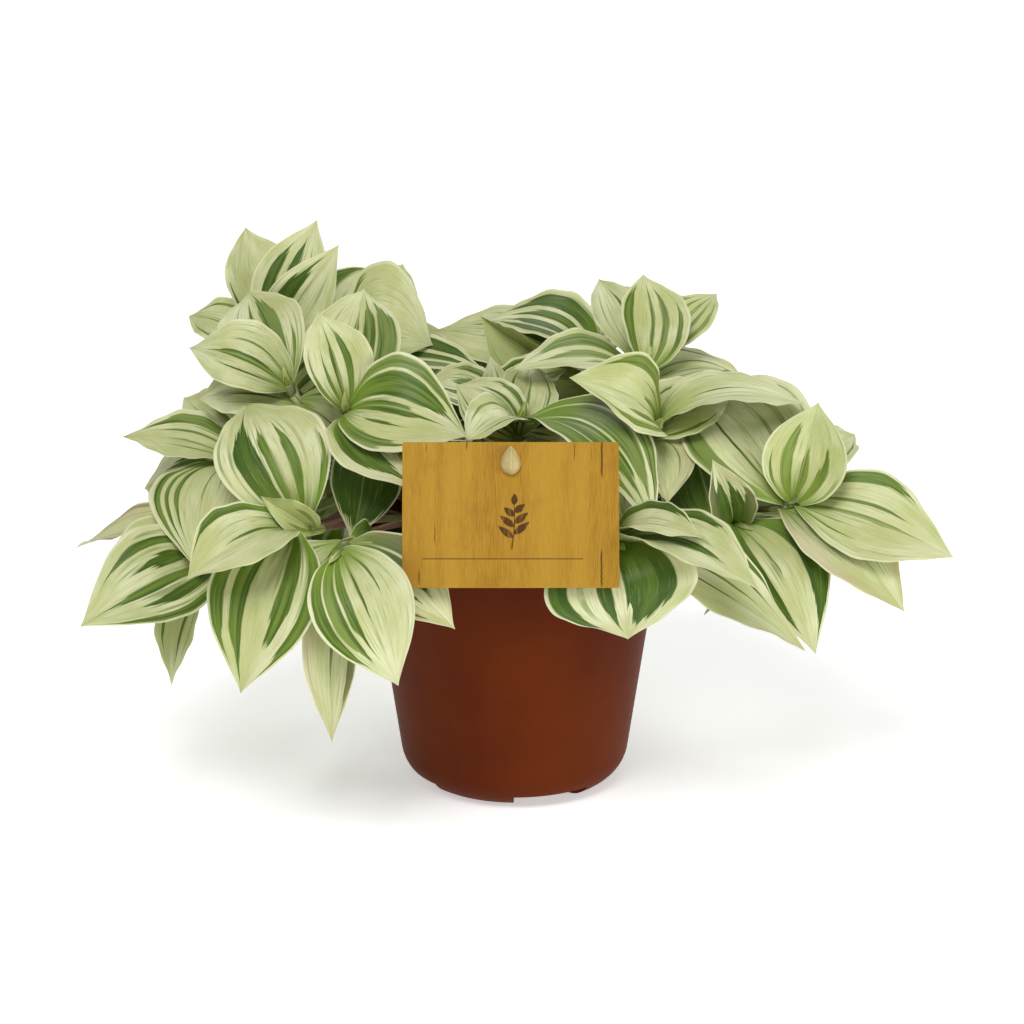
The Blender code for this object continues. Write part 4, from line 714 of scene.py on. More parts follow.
@dataclass(frozen=True)
class CardFinish:
    """A card printed with upright wood grain and a thin rule line, cut to show paper at its edge.

    Each crack has its place across the card, half its width, and its upper and lower end. The rule
    line has its left and right end, its height and half its thickness.
    """

    honey: tuple = paint(175, 133, 38)
    light: tuple = paint(184, 144, 48)
    brown: tuple = paint(148, 104, 28)
    crack: tuple = paint(76, 46, 14)
    ink: tuple = paint(92, 62, 26)
    cracks: tuple = ((-32.3, 0.3, 27.5, 23.0), (-16.9, 0.45, 29.0, 24.0), (24.5, 0.25, 28.0, 20.0),
                     (34.9, 0.62, 29.0, 13.5), (34.7, 0.55, -13.5, -29.0), (-35.0, 0.35, -21.0, -28.0),
                     (-29.0, 0.25, -4.0, -12.0))
    rule: tuple = (-34.0, 28.0, -16.9, 0.22)
    relief: float = 0.00005

    def make(self) -> bpy.types.Material:
        """The material: the grain, then the cracks, the rule line and the plain paper behind.

        Returns:
            The material.
        """
        graph = Graph("printed card")
        x, y, front = graph.attribute("card_place")
        grain_place = graph.vector(x, y * 0.035, 3.0)
        grain = graph.noise(grain_place, 4.2, 6.0, 0.7)
        board = graph.noise(grain_place, 0.12, 2.0)
        cloud = graph.noise(graph.vector(x, y, 7.0), 0.07, 3.0)
        speck = graph.noise(graph.vector(x * 1.4, y * 0.5, 5.0), 1.2, 4.0, 0.7)
        colour = graph.mix(grain.rise(0.34, 0.6), self.brown, self.honey)
        colour = graph.mix(board.rise(0.36, 0.68) * 0.6, colour, self.light)
        colour = graph.mix(cloud.rise(0.5, 0.25) * 0.5, colour, self.brown)
        colour = graph.mix(speck.rise(0.6, 0.78) * 0.5, colour, self.brown)
        sway = graph.noise(graph.vector(y * 0.5, 0.0, 11.0), 1.0, 3.0)
        bent = (sway - 0.5) * 1.2 + x
        for place, half, high, low in self.cracks:
            reach = y.rise(low, low + 3.0) * y.rise(high + 1.0, high - 2.0)
            mask = abs(bent - place).rise(half, 0.15 * half) * reach
            colour = graph.mix(mask * 0.9, colour, self.crack)
        left, right, height, half = self.rule
        ends = x.rise(left, left + 0.6) * x.rise(right, right - 0.6)
        line = abs(y - height).rise(half + 0.08, half - 0.08) * ends
        colour = graph.mix(line * 0.85, colour, self.ink)
        colour = graph.mix(front * 0.85 + 0.15, self.light, colour)
        return graph.finish(colour, grain * 0.18 + 0.44, grain, self.relief, Specular_IOR_Level=0.15)


@dataclass(frozen=True)
class InkFinish:
    """Dark brown print, worn where the wood grain under it stands out."""

    ink: tuple = paint(80, 52, 24)
    worn: tuple = paint(134, 98, 42)
    relief: float = 0.00003

    def make(self) -> bpy.types.Material:
        """The material.

        Returns:
            The material.
        """
        graph = Graph("brown print")
        x, y, z = graph.spot().split()
        grain = graph.noise(graph.vector(x, y * 0.1, z * 0.1), 1400.0, 4.0, 0.7)
        colour = graph.mix(grain.rise(0.48, 0.68), self.ink, self.worn)
        return graph.finish(colour, grain * 0.2 + 0.45, grain, self.relief, Specular_IOR_Level=0.1)


@dataclass(frozen=True)
class StakeFinish:
    """Satin cream moulded plastic with faint upright ribs."""

    cream: tuple = paint(196, 178, 122)
    shade: tuple = paint(180, 160, 104)
    relief: float = 0.0002

    def make(self) -> bpy.types.Material:
        """The material.

        Returns:
            The material.
        """
        graph = Graph("stake plastic")
        spot = graph.spot()
        x, y, z = spot.split()
        rib = graph.noise(graph.vector(x, y * 0.15, z * 0.1), 1900.0, 2.0)
        cloud = graph.noise(spot, 260.0, 3.0)
        colour = graph.mix(rib.rise(0.4, 0.62), self.shade, self.cream)
        colour = graph.mix(cloud.rise(0.5, 0.7) * 0.4, colour, self.shade)
        return graph.finish(colour, cloud * 0.2 + 0.34, rib, self.relief, Subsurface_Weight=0.1,
                            Subsurface_Radius=(1.0, 0.8, 0.5), Subsurface_Scale=0.001)


@dataclass(frozen=True)
class FloorFinish:
    """A plain white studio floor with a breath of unevenness."""

    white: tuple = (0.93, 0.93, 0.93, 1.0)
    soft: tuple = (0.9, 0.9, 0.9, 1.0)
    relief: float = 0.0001
    glow: float = 0.52

    def make(self) -> bpy.types.Material:
        """The material.

        Returns:
            The material.
        """
        graph = Graph("studio floor")
        cloud = graph.noise(graph.spot(), 6.0, 3.0)
        colour = graph.mix(cloud, self.white, self.soft)
        return graph.finish(colour, cloud * 0.1 + 0.7, cloud, self.relief, Specular_IOR_Level=0.1,
                            Emission_Color=self.white, Emission_Strength=self.glow)


@dataclass(frozen=True)
class Plot:
    """Where the pot's axis stands in the frame, in metres."""

    axis: Vector

    def metres(self, point: Vector) -> Vector:
        """A point about the pot's axis in the frame."""
        return self.axis + point * MM


def bezier(p0: Vector, p1: Vector, p2: Vector, p3: Vector, t: float) -> Vector:
    """A point of the cubic curve through p0 and p3."""
    u = 1 - t
    return p0 * u ** 3 + p1 * (3 * u * u * t) + p2 * (3 * u * t * t) + p3 * t ** 3


def ring_faces(rings: int, sides: int, closed: bool = False) -> list[tuple[int, ...]]:
    """The faces between rings of corners that follow one another.

    Args:
        rings: how many rings there are.
        sides: how many corners each has.
        closed: whether the last ring is joined to the first.

    Returns:
        The faces.
    """
    faces = []
    for i in range(rings if closed else rings - 1):
        here, there = i * sides, (i + 1) % rings * sides
        for k in range(sides):
            after = (k + 1) % sides
            faces.append((here + k, here + after, there + after, there + k))
    return faces


def tube_shell(points: Sequence[Vector], radius: Union[float, Sequence[float]], sides: int = 6,
               capped: bool = False) -> Shell:
    """The corners and faces of a tube round a centre line.

    Args:
        points: the centre line.
        radius: one radius, or one for each point.
        sides: how many sides it has.
        capped: whether its ends are closed by points on the centre line.

    Returns:
        Its corners and faces.
    """
    corners = []
    last = len(points) - 1
    for i, point in enumerate(points):
        run = points[min(i + 1, last)] - points[max(i - 1, 0)]
        turn = Vector((0, 0, 1)).rotation_difference(run)
        size = radius if isinstance(radius, (int, float)) else radius[i]
        for k in range(sides):
            angle = 2 * math.pi * k / sides
            corners.append(point + turn @ Vector((math.cos(angle), math.sin(angle), 0)) * size)
    faces = ring_faces(len(points), sides)
    if capped:
        corners += [points[0], points[-1]]
        first, top = len(corners) - 2, len(corners) - 1
        for k in range(sides):
            after = (k + 1) % sides
            faces.append((first, after, k))
            faces.append((top, last * sides + k, last * sides + after))
    return corners, faces


def lathe_shell(profile: Sequence[tuple[float, float]], sides: int = 32, closed: bool = False) -> Shell:
    """The corners and faces of a skin turned about the Z axis.

    Args:
        profile: its (radius, height) points.
        sides: how many sides it has.
        closed: whether the profile is a loop.

    Returns:
        Its corners and faces.
    """
    corners = [
        Vector((r * math.cos(2 * math.pi * k / sides), r * math.sin(2 * math.pi * k / sides), z))
        for r, z in profile
        for k in range(sides)
    ]
    return corners, ring_faces(len(profile), sides, closed)


def back_along(points: Sequence[Vector], distance: float) -> Vector:
    """The point this far back along a centre line from its end.

    Args:
        points: the centre line.
        distance: how far back.

    Returns:
        The point.
    """
    for near, far in zip(points[::-1], points[-2::-1]):
        step = (far - near).length
        if distance <= step:
            return near.lerp(far, distance / step)
        distance -= step
    return points[0]


def put_in_scene(name: str, data: bpy.types.ID) -> bpy.types.Object:
    """The new object of a mesh, lamp or camera, in the scene.

    Args:
        name: its name.
        data: the mesh, lamp or camera.

    Returns:
        The object.
    """
    item = bpy.data.objects.new(name, data)
    bpy.context.scene.collection.objects.link(item)
    return item


class Draft:
    """A mesh in the making: corners, faces, and what its finishes read."""

    def __init__(self) -> None:
        """Starts empty."""
        self.corners: list[np.ndarray] = []
        self.faces: list[tuple[int, ...]] = []
        self.slots: list[int] = []
        self.values: dict[str, list[tuple[int, np.ndarray]]] = {}
        self.count = 0

    def add(self, corners: Union[np.ndarray, Sequence[Vector]], faces: Sequence[tuple[int, ...]],
            slot: int = 0, **values: Union[np.ndarray, Sequence[float]]) -> None:
        """Adds a body.

        Args:
            corners: its corners in millimetres about the pot's axis.
            faces: its faces.
            slot: which of the finishes it has.
            values: for each attribute one triple, or one for each corner.
        """
        block = np.array(corners, float).reshape(-1, 3)
        start = self.count
        self.corners.append(block)
        self.faces += [tuple(start + i for i in face) for face in faces]
        self.slots += [slot] * len(faces)
        for name, value in values.items():
            spread = np.broadcast_to(np.array(value, float), block.shape)
            self.values.setdefault(name, []).append((start, spread))
        self.count += len(block)

    def item(self, name: str, plot: Plot, finishes: Sequence[bpy.types.Material],
             sharp: float = math.radians(50)) -> bpy.types.Object:
        """Makes the object.

        Args:
            name: its name.
            plot: where the pot's axis is.
            finishes: its materials.
            sharp: the angle from which an edge stays sharp.

        Returns:
            The object, in the scene.
        """
        mesh = bpy.data.meshes.new(name)
        corners = np.concatenate(self.corners) * MM + np.array(plot.axis)
        mesh.from_pydata(corners.tolist(), [], self.faces)
        mesh.polygons.foreach_set("material_index", self.slots)
        for value_name, blocks in self.values.items():
            whole = np.zeros((self.count, 3), np.float32)
            for start, block in blocks:
                whole[start:start + len(block)] = block
            attribute = mesh.attributes.new(value_name, "FLOAT_VECTOR", "POINT")
            attribute.data.foreach_set("vector", whole.ravel())
        for finish in finishes:
            mesh.materials.append(finish)
        mesh.shade_smooth()
        mesh.set_sharp_from_angle(angle=sharp)
        return put_in_scene(name, mesh)


def declare(item: bpy.types.Object, slot: str, *nodes: str) -> None:
    """Lets a piece ride on the part, in the place of its solids.

    Args:
        item: the piece.
        slot: not used.
        nodes: the solids that it replaces.
    """
    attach(item, "root")
    if nodes:
        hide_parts(*nodes)
    log.info("%s: %d faces", item.name, len(item.data.polygons))


def face_outward(mesh: bpy.types.Mesh) -> None:
    """Turns the faces of a closed mesh outward.

    Args:
        mesh: the mesh.
    """
    grid = bmesh.new()
    grid.from_mesh(mesh)
    bmesh.ops.recalc_face_normals(grid, faces=grid.faces)
    grid.to_mesh(mesh)
    grid.free()


def cut(item: bpy.types.Object, shell: Shell, plot: Plot) -> None:
    """Cuts a closed shell out of an object, for good.

    Args:
        item: what is cut.
        shell: the shape that is taken away.
        plot: where the pot's axis is.
    """
    draft = Draft()
    draft.add(*shell)
    tool = draft.item("tool", plot, ())
    face_outward(tool.data)
    change = item.modifiers.new("cut", "BOOLEAN")
    change.operation = "DIFFERENCE"
    change.solver = "EXACT"
    change.object = tool
    bpy.context.view_layer.update()
    graph = bpy.context.evaluated_depsgraph_get()
    mesh = bpy.data.meshes.new_from_object(item.evaluated_get(graph))
    item.modifiers.clear()
    item.data = mesh
    bpy.data.objects.remove(tool)


@dataclass(frozen=True)
class Pot:
    """A 12 cm nursery pot: a turned shell with a band at its rim and a notched foot."""

    plot: Plot
    height: float = 109.5
    foot_radius: float = 31.8
    corner_radius: float = 15.0
    wall_angle: float = math.radians(8.26)
    wall: float = 1.5
    band_height: float = 7.0
    band_step: float = 1.3
    rim_edge: float = 0.5
    foot_height: float = 6.5
    foot_inner_radius: float = 23.0
    inner_corner: float = 12.0
    notch_count: int = 4
    notch_height: float = 6.0
    notch_inner_radius: float = 20.0
    notch_middle: float = math.radians(21.0)
    notch_width: float = math.radians(43.04)
    drain_radius: float = 3.5
    drain_ring: float = 13.5
    drain_count: int = 4
    drain_sides: int = 34
    sides: int = 144
    arc_steps: int = 10
    edge_steps: int = 4
    notch_steps: int = 16
    base_rings: tuple = (18.0, 8.0, 1.0)
    sharp: float = math.radians(40)

    def wall_radius(self, z: float) -> float:
        """The outer radius at a height, above the rounded bottom corner.

        Args:
            z: the height.

        Returns:
            The radius.
        """
        middle = Vector((self.foot_radius, self.corner_radius))
        touch_r = middle.x + self.corner_radius * math.cos(self.wall_angle)
        touch_z = middle.y - self.corner_radius * math.sin(self.wall_angle)
        return touch_r + (z - touch_z) * math.tan(self.wall_angle)

    def arc(self, middle: tuple[float, float], radius: float, start: float, end: float,
            steps: int) -> list[tuple[float, float]]:
        """Points of a round stretch of the profile, by angles in degrees.

        Args:
            middle: the arc's centre, as radius and height.
            radius: its own radius.
            start, end: its first and last angle.
            steps: how many pieces it has.

        Returns:
            The points.
        """
        points = []
        for i in range(steps + 1):
            angle = math.radians(start + (end - start) * i / steps)
            points.append((middle[0] + radius * math.cos(angle), middle[1] + radius * math.sin(angle)))
        return points

    def profile(self) -> list[tuple[float, float]]:
        """The half section: down the outer side, under the foot and up the inner side.

        Returns:
            Its (radius, height) points.
        """
        rim = self.wall_radius(self.height)
        band_z = self.height - self.band_height
        edge = self.rim_edge
        lip = rim + self.band_step
        points = self.arc((rim - self.wall + edge, self.height - edge), edge, 180, 90, self.edge_steps)
        points += self.arc((lip - edge, self.height - edge), edge, 90, 0, self.edge_steps)
        band = self.wall_radius(band_z) + self.band_step
        points += self.arc((band - edge, band_z + edge), edge, 0, -80, self.edge_steps)
        points += self.arc((self.wall_radius(band_z) + edge, band_z - edge), edge, 100, 180, self.edge_steps)
        slope = math.degrees(self.wall_angle)
        points += self.arc((self.foot_radius, self.corner_radius), self.corner_radius, -slope, -90,
                           self.arc_steps)
        points += [(self.foot_inner_radius + edge, 0.0), (self.foot_inner_radius, edge),
                   (self.foot_inner_radius, self.foot_height)]
        points += [(r, self.foot_height) for r in self.base_rings]
        floor = self.foot_height + self.wall
        inner_wall = self.wall_radius(floor + self.inner_corner) - self.wall
        points += [(r, floor) for r in reversed(self.base_rings)]
        corner = (inner_wall - self.inner_corner, floor + self.inner_corner)
        points += self.arc(corner, self.inner_corner, -90, -slope, self.arc_steps)
        return points

    def notch(self, turn: float) -> Shell:
        """A notch in the foot.

        Args:
            turn: the angle of its middle.

        Returns:
            The shape that is cut out.
        """
        outer = self.foot_radius + self.corner_radius
        below = -1.0
        section = ((self.notch_inner_radius, below), (outer, below),
                   (outer, self.notch_height), (self.notch_inner_radius, self.notch_height))
        corners = []
        for i in range(self.notch_steps + 1):
            angle = turn + self.notch_width * (i / self.notch_steps - 0.5)
            corners += [Vector((r * math.cos(angle), r * math.sin(angle), z)) for r, z in section]
        last = 4 * self.notch_steps
        return corners, ring_faces(self.notch_steps + 1, 4) + [(3, 2, 1, 0), tuple(range(last, last + 4))]

    def build(self) -> None:
        """Makes the pot and lets it stand for its solid."""
        draft = Draft()
        corners, faces = lathe_shell(self.profile(), self.sides, closed=True)
        draft.add(corners, [face[::-1] for face in faces])
        pot = draft.item("nursery_pot", self.plot, [PotFinish().make()], self.sharp)
        self.close_base(pot)
        for i in range(self.notch_count):
            turn = -math.pi / 2 + self.notch_middle + i * math.tau / self.notch_count
            cut(pot, self.notch(turn), self.plot)
        for i in range(self.drain_count):
            angle = math.tau * (i + 0.5) / self.drain_count
            middle = Vector((math.cos(angle), math.sin(angle), 0)) * self.drain_ring
            line = [middle + Vector((0, 0, z)) for z in (1.0, 2 * self.foot_height)]
            cut(pot, tube_shell(line, self.drain_radius, self.drain_sides, capped=True), self.plot)
        pot.data.set_sharp_from_angle(angle=self.sharp)
        declare(pot, "pot_plastic", "pot")

    def close_base(self, pot: bpy.types.Object) -> None:
        """Draws the small ring at the turning axis together, so that the base is closed.

        Args:
            pot: the turned shell.
        """
        grid = bmesh.new()
        grid.from_mesh(pot.data)
        axis = Vector((0, 0))
        middle = sum((Vector(v.co.xy) for v in grid.verts), axis) / len(grid.verts)
        for vert in grid.verts:
            if (Vector(vert.co.xy) - middle).length < 2 * self.base_rings[-1] * MM:
                vert.co.xy = middle
        bmesh.ops.remove_doubles(grid, verts=grid.verts, dist=0.001 * MM)
        loose = [face for face in grid.faces if face.calc_area() < 1e-14]
        bmesh.ops.delete(grid, geom=loose, context="FACES")
        bmesh.ops.recalc_face_normals(grid, faces=grid.faces)
        grid.to_mesh(pot.data)
        grid.free()


@dataclass(frozen=True)
class Soil:
    """Potting mix that fills the pot: a crumbly, slightly domed top with loose crumbs."""

    plot: Plot
    top: float = 98.0
    dome: float = 4.0
    roughness: float = 1.3
    gap: float = 0.3
    hole_depth: float = 14.0
    bump_rate: float = 0.09
    corner: float = 15.0
    rings: int = 40
    sides: int = 120
    fine_bumps: tuple = ((5, 0.45, 0.7), (9, 1.3, 0.35))
    rim_fade: float = 12.0
    crumbs: int = 420
    crumb_sizes: tuple = ((0.5, 1.7), (0.5, 1.3), (0.4, 0.9))
    crumb_dents: float = 0.25
    crumb_rise: float = 0.25
    crumb_margin: float = 3.0

    def height(self, x: float, y: float, pot: Pot) -> float:
        """The height of the top.

        Args:
            x, y: the place.
            pot: the pot around it.

        Returns:
            The height.
        """
        share = math.hypot(x, y) / pot.wall_radius(self.top)
        bumps = noise(Vector((x, y, 0)) * self.bump_rate) * self.roughness
        fine = sum(noise(Vector((x, y, layer)) * rate) * size for layer, rate, size in self.fine_bumps)
        rim = min(1.0, (1 - min(share, 1.0)) * self.rim_fade)
        return self.top + self.dome * (1 - share * share) - self.roughness + bumps + fine * rim

    def build(self, pot: Pot) -> None:
        """Makes the soil and lets it stand for its solid.

        Args:
            pot: the pot around it.
        """
        floor = pot.foot_height + pot.wall + self.gap
        edge = pot.wall_radius(self.top) - pot.wall - 2 * self.gap
        corners = [Vector((0, 0, self.height(0, 0, pot)))]
        for i in range(self.rings):
            radius = edge * (i + 1) / self.rings
            for k in range(self.sides):
                x = radius * math.cos(math.tau * k / self.sides)
                y = radius * math.sin(math.tau * k / self.sides)
                corners.append(Vector((x, y, self.height(x, y, pot))))
        shoulder = floor + self.corner
        low = pot.wall_radius(shoulder) - pot.wall - 2 * self.gap
        for radius, z in ((low, shoulder), (low - self.corner, floor)):
            corners += lathe_shell(((radius, z),), self.sides)[0]
        faces = [(0, 1 + k, 1 + (k + 1) % self.sides) for k in range(self.sides)]
        for i in range(self.rings + 1):
            for k in range(self.sides):
                a, b = 1 + i * self.sides + k, 1 + i * self.sides + (k + 1) % self.sides
                faces.append((a, a + self.sides, b + self.sides, b))
        last = 1 + (self.rings + 1) * self.sides
        faces.append(tuple(last + k for k in reversed(range(self.sides))))
        draft = Draft()
        draft.add(corners, faces)
        self.scatter(draft, edge, pot)
        soil = draft.item("potting_mix", self.plot, [SoilFinish().make()], math.radians(60))
        declare(soil, "soil", "soil")

    def scatter(self, draft: Draft, edge: float, pot: Pot) -> None:
        """Beds crumbs of bark and peat in the top.

        Args:
            draft: the soil's mesh.
            edge: the radius of its top.
            pot: the pot around it.
        """
        rng = random.Random(SEED + 5)
        grid = bmesh.new()
        bmesh.ops.create_icosphere(grid, subdivisions=1, radius=1.0)
        ball = [vert.co.copy() for vert in grid.verts]
        faces = [tuple(vert.index for vert in face.verts) for face in grid.faces]
        grid.free()
        for _ in range(self.crumbs):
            reach = (edge - self.crumb_margin) * math.sqrt(rng.random())
            angle = rng.uniform(0, math.tau)
            x, y = reach * math.cos(angle), reach * math.sin(angle)
            size = Vector([rng.uniform(*span) for span in self.crumb_sizes])
            turn = Quaternion((rng.random(), rng.random(), rng.random()), rng.uniform(0, math.tau))
            middle = Vector((x, y, self.height(x, y, pot) + self.crumb_rise * size.z))
            body = []
            for point in ball:
                dent = 1 + self.crumb_dents * noise(point * 1.3 + middle)
                body.append(middle + turn @ Vector(p * s * dent for p, s in zip(point, size)))
            draft.add(body, faces)


@dataclass(frozen=True)
class Card:
    """A printed card that leans back on its stake."""

    plot: Plot
    width: float = 83.0
    height: float = 56.0
    thickness: float = 0.9
    corner: float = 0.7
    corner_steps: int = 6
    edge: float = 0.12
    middle: Vector = Vector((-1.5, -78.0, 137.6))
    lean: float = math.radians(24.0)
    hole_up: float = 19.8
    hole_radius: float = 2.5
    sprig_middle: tuple = (0.4, -2.6)
    sprig_height: float = 21.0
    sprig_sway: float = 1.1
    sprig_pieces: int = 12
    sprig_half: float = 0.26
    sprig_leaves: tuple = ((3, 7.4), (4, 7.8), (6, 7.0), (7, 6.8), (9, 5.4), (10, 5.2))
    sprig_tip: tuple = (0.3, 4.6)
    leaf_half: float = 1.35
    leaf_steps: int = 9
    print_lift: float = 0.06

    def axes(self) -> tuple[Vector, Vector]:
        """The card's up and out directions."""
        cos, sin = math.cos(self.lean), math.sin(self.lean)
        return Vector((0, sin, cos)), Vector((0, -cos, sin))

    def spot(self, x: float, y: float, forward: float) -> Vector:
        """The point at a place on the card, this far in front of its back."""
        up, out = self.axes()
        return self.middle + Vector((x, 0, 0)) + up * y + out * forward

    def outline(self) -> list[tuple[float, float]]:
        """The card's outline with round corners, anticlockwise from its upper right corner.

        Returns:
            Its (right, up) points.
        """
        points = []
        for quarter, (sx, sy) in enumerate(((1, 1), (-1, 1), (-1, -1), (1, -1))):
            middle_x = sx * (self.width / 2 - self.corner)
            middle_y = sy * (self.height / 2 - self.corner)
            for i in range(self.corner_steps + 1):
                angle = math.pi / 2 * (quarter + i / self.corner_steps)
                points.append((middle_x + self.corner * math.cos(angle),
                               middle_y + self.corner * math.sin(angle)))
        return points

    def build(self) -> None:
        """Makes the card and its print, and lets the card stand for its solid."""
        outer = self.outline()
        turns = [math.tau * k / len(outer) + math.pi / 8 for k in range(len(outer))]
        hole = [(self.hole_radius * math.cos(turn), self.hole_up + self.hole_radius * math.sin(turn))
                for turn in turns]
        edge = self.edge
        inset = [(x * (1 - 2 * edge / self.width), y * (1 - 2 * edge / self.height)) for x, y in outer]
        loops = ((hole, 0.0), (inset, 0.0), (outer, edge), (outer, self.thickness - edge),
                 (inset, self.thickness), (hole, self.thickness))
        corners, place, faces = [], [], []
        for points, forward in loops:
            for x, y in points:
                corners.append(self.spot(x, y, forward))
                place.append((x, y, 1.0 if forward == self.thickness else 0.0))
        count = len(outer)
        for i in range(len(loops)):
            there = (i + 1) % len(loops)
            for k in range(count):
                after = (k + 1) % count
                faces.append((i * count + after, there * count + after, there * count + k, i * count + k))
        draft = Draft()
        draft.add(corners, faces, card_place=place)
        card = draft.item("wood_print_card", self.plot, [CardFinish().make()], math.radians(30))
        declare(card, "printed_card", "card")
        self.build_sprig()

    def leaf_print(self, foot: Vector, tip: Vector, width: float) -> list[Vector]:
        """The outline of a small printed leaf.

        Args:
            foot, tip: its ends.
            width: half of its width.

        Returns:
            The points.
        """
        run = tip - foot
        side = Vector((-run.y, run.x)).normalized()
        points = []
        for sign in (1, -1):
            for i in range(1, self.leaf_steps)[::sign]:
                t = i / self.leaf_steps
                points.append(foot + run * t + side * (sign * width * math.sin(math.pi * t ** 0.8)))
        return [foot, *points[:self.leaf_steps - 1], tip, *points[self.leaf_steps - 1:]]

    def build_sprig(self) -> None:
        """Prints a sprig of seven plain leaves on the card."""
        base = Vector(self.sprig_middle) - Vector((0, self.sprig_height / 2))
        draft = Draft()
        shares = [i / self.sprig_pieces for i in range(self.sprig_pieces + 1)]
        stem = [base + Vector((self.sprig_sway * math.sin(2.2 * t), self.sprig_height * 0.8 * t))
                for t in shares]
        halves = [Vector((self.sprig_half * (1 - 0.5 * t), 0)) for t in shares]
        shapes = []
        for i in range(self.sprig_pieces):
            shapes.append([stem[i] + halves[i], stem[i + 1] + halves[i + 1],
                           stem[i + 1] - halves[i + 1], stem[i] - halves[i]])
        for i, (step, reach) in enumerate(self.sprig_leaves):
            sign = 1 if i % 2 else -1
            tip = stem[step] + Vector((sign * reach * 0.78, reach * 0.62))
            shapes.append(self.leaf_print(stem[step], tip, self.leaf_half))
        shapes.append(self.leaf_print(stem[-1], stem[-1] + Vector(self.sprig_tip), self.leaf_half - 0.1))
        low, high = self.thickness + 0.01, self.thickness + self.print_lift
        for shape in shapes:
            area = sum(a.x * b.y - b.x * a.y for a, b in zip(shape, shape[1:] + shape[:1]))
            ring = shape if area > 0 else shape[::-1]
            count = len(ring)
            corners = [self.spot(p.x, p.y, high) for p in ring] + [self.spot(p.x, p.y, low) for p in ring]
            faces = [tuple(range(count)), tuple(reversed(range(count, 2 * count)))]
            faces += [(k, k + count, (k + 1) % count + count, (k + 1) % count) for k in range(count)]
            draft.add(corners, faces)
        sprig = draft.item("printed_sprig", self.plot, [InkFinish().make()], math.radians(30))
        declare(sprig, "printed_card")


@dataclass(frozen=True)
class Stake:
    """The stake that holds the card: a shaft, a collar behind the card and a teardrop head."""

    plot: Plot
    radius: float = 1.5
    foot: Vector = Vector((-1.0, -46.5, 98.0))
    rise: float = 28.0
    run: float = 18.0
    run_back: float = 3.0
    bend_back: float = 9.0
    bend_down: float = 3.5
    pieces: int = 5
    head_radius: float = 4.0
    head_length: float = 4.2
    drop_top: float = 6.6
    drop_bottom: float = 4.4
    narrowing: float = 0.5
    collar_radius: float = 3.4
    collar_thickness: float = 1.2
    collar_form: tuple = ((0.0, 0.001), (0.0, 0.82), (0.18, 1.0), (0.82, 1.0), (1.0, 0.82), (1.0, 0.001))
    hair: float = 0.002
    fine_pieces: int = 28
    rib_depth: float = 0.03
    rib_rate: float = 9.0

    def points(self, card: Card, soil: Soil, pieces: Optional[int] = None) -> list[Vector]:
        """The centre line: out of the soil, up behind the card, and out through it.

        Args:
            card: the card that it carries.
            soil: the soil that it stands in.
            pieces: how finely its bend is drawn, or None for that of the solid.

        Returns:
            The points.
        """
        pieces = pieces or self.pieces
        up, out = card.axes()
        hole = card.middle + up * card.hole_up
        foot = self.foot - Vector((0, 0, soil.hole_depth - soil.gap))
        rise = self.foot + Vector((0, 0, self.rise))
        bend = hole - out * self.bend_back - up * self.bend_down
        run = bend - up * self.run - out * self.run_back
        points = [bezier(self.foot, rise, run, bend, i / pieces) for i in range(pieces + 1)]
        tail = ((-5.2, -0.9), (-2.2, 0.0), (card.thickness + 0.6, 0.0))
        return [foot] + points + [hole + out * forward + up * raised for forward, raised in tail]

    def head(self, card: Card, soil: Soil) -> Shell:
        """The teardrop head: flat against the card, rounded before it, faintly ribbed.

        Args:
            card: the card that it carries.
            soil: the soil, for its gap.

        Returns:
            Its corners and faces.
        """
        up, out = card.axes()
        front = card.middle + up * card.hole_up + out * (card.thickness + soil.gap)
        grid = bmesh.new()
        bmesh.ops.create_uvsphere(grid, u_segments=40, v_segments=28, radius=1.0)
        for vert in grid.verts:
            x, y, z = vert.co
            tall = self.drop_top if y > 0 else self.drop_bottom
            narrow = 1.0 - self.narrowing * max(0.0, y) ** 1.5
            rib = 1.0 + self.rib_depth * math.cos(self.rib_rate * x)
            spot = front + Vector((x * self.head_radius * narrow, 0, 0)) + up * (y * tall)
            vert.co = spot + out * (max(0.0, z) ** 0.8 * self.head_length * rib)
        bmesh.ops.recalc_face_normals(grid, faces=grid.faces)
        grid.verts.index_update()
        corners = [vert.co.copy() for vert in grid.verts]
        # Sorted, because Blender lists a sphere's faces in another order on each run
        faces = sorted(tuple(vert.index for vert in face.verts) for face in grid.faces)
        grid.free()
        return corners, faces

    def build(self, card: Card, soil: Soil) -> None:
        """Makes the stake and lets it stand for its solid.

        Args:
            card: the card that it carries.
            soil: the soil that it stands in.
        """
        line = self.points(card, soil, self.fine_pieces)
        _, out = card.axes()
        hole = card.spot(0, card.hole_up, 0)
        behind = hole - out * soil.gap
        # Rings that would coincide stand a hair apart
        collar = [behind - out * (self.collar_thickness * (1 - step)) + out * (self.hair * i)
                  for i, (step, _) in enumerate(self.collar_form)]
        draft = Draft()
        draft.add(*tube_shell(line, self.radius, 20, capped=True))
        rings = [self.collar_radius * share for _, share in self.collar_form]
        draft.add(*tube_shell(collar, rings, 40, capped=True))
        draft.add(*self.head(card, soil))
        item = draft.item("card_holder", self.plot, [StakeFinish().make()], math.radians(40))
        declare(item, "stake_plastic", "card_stake")


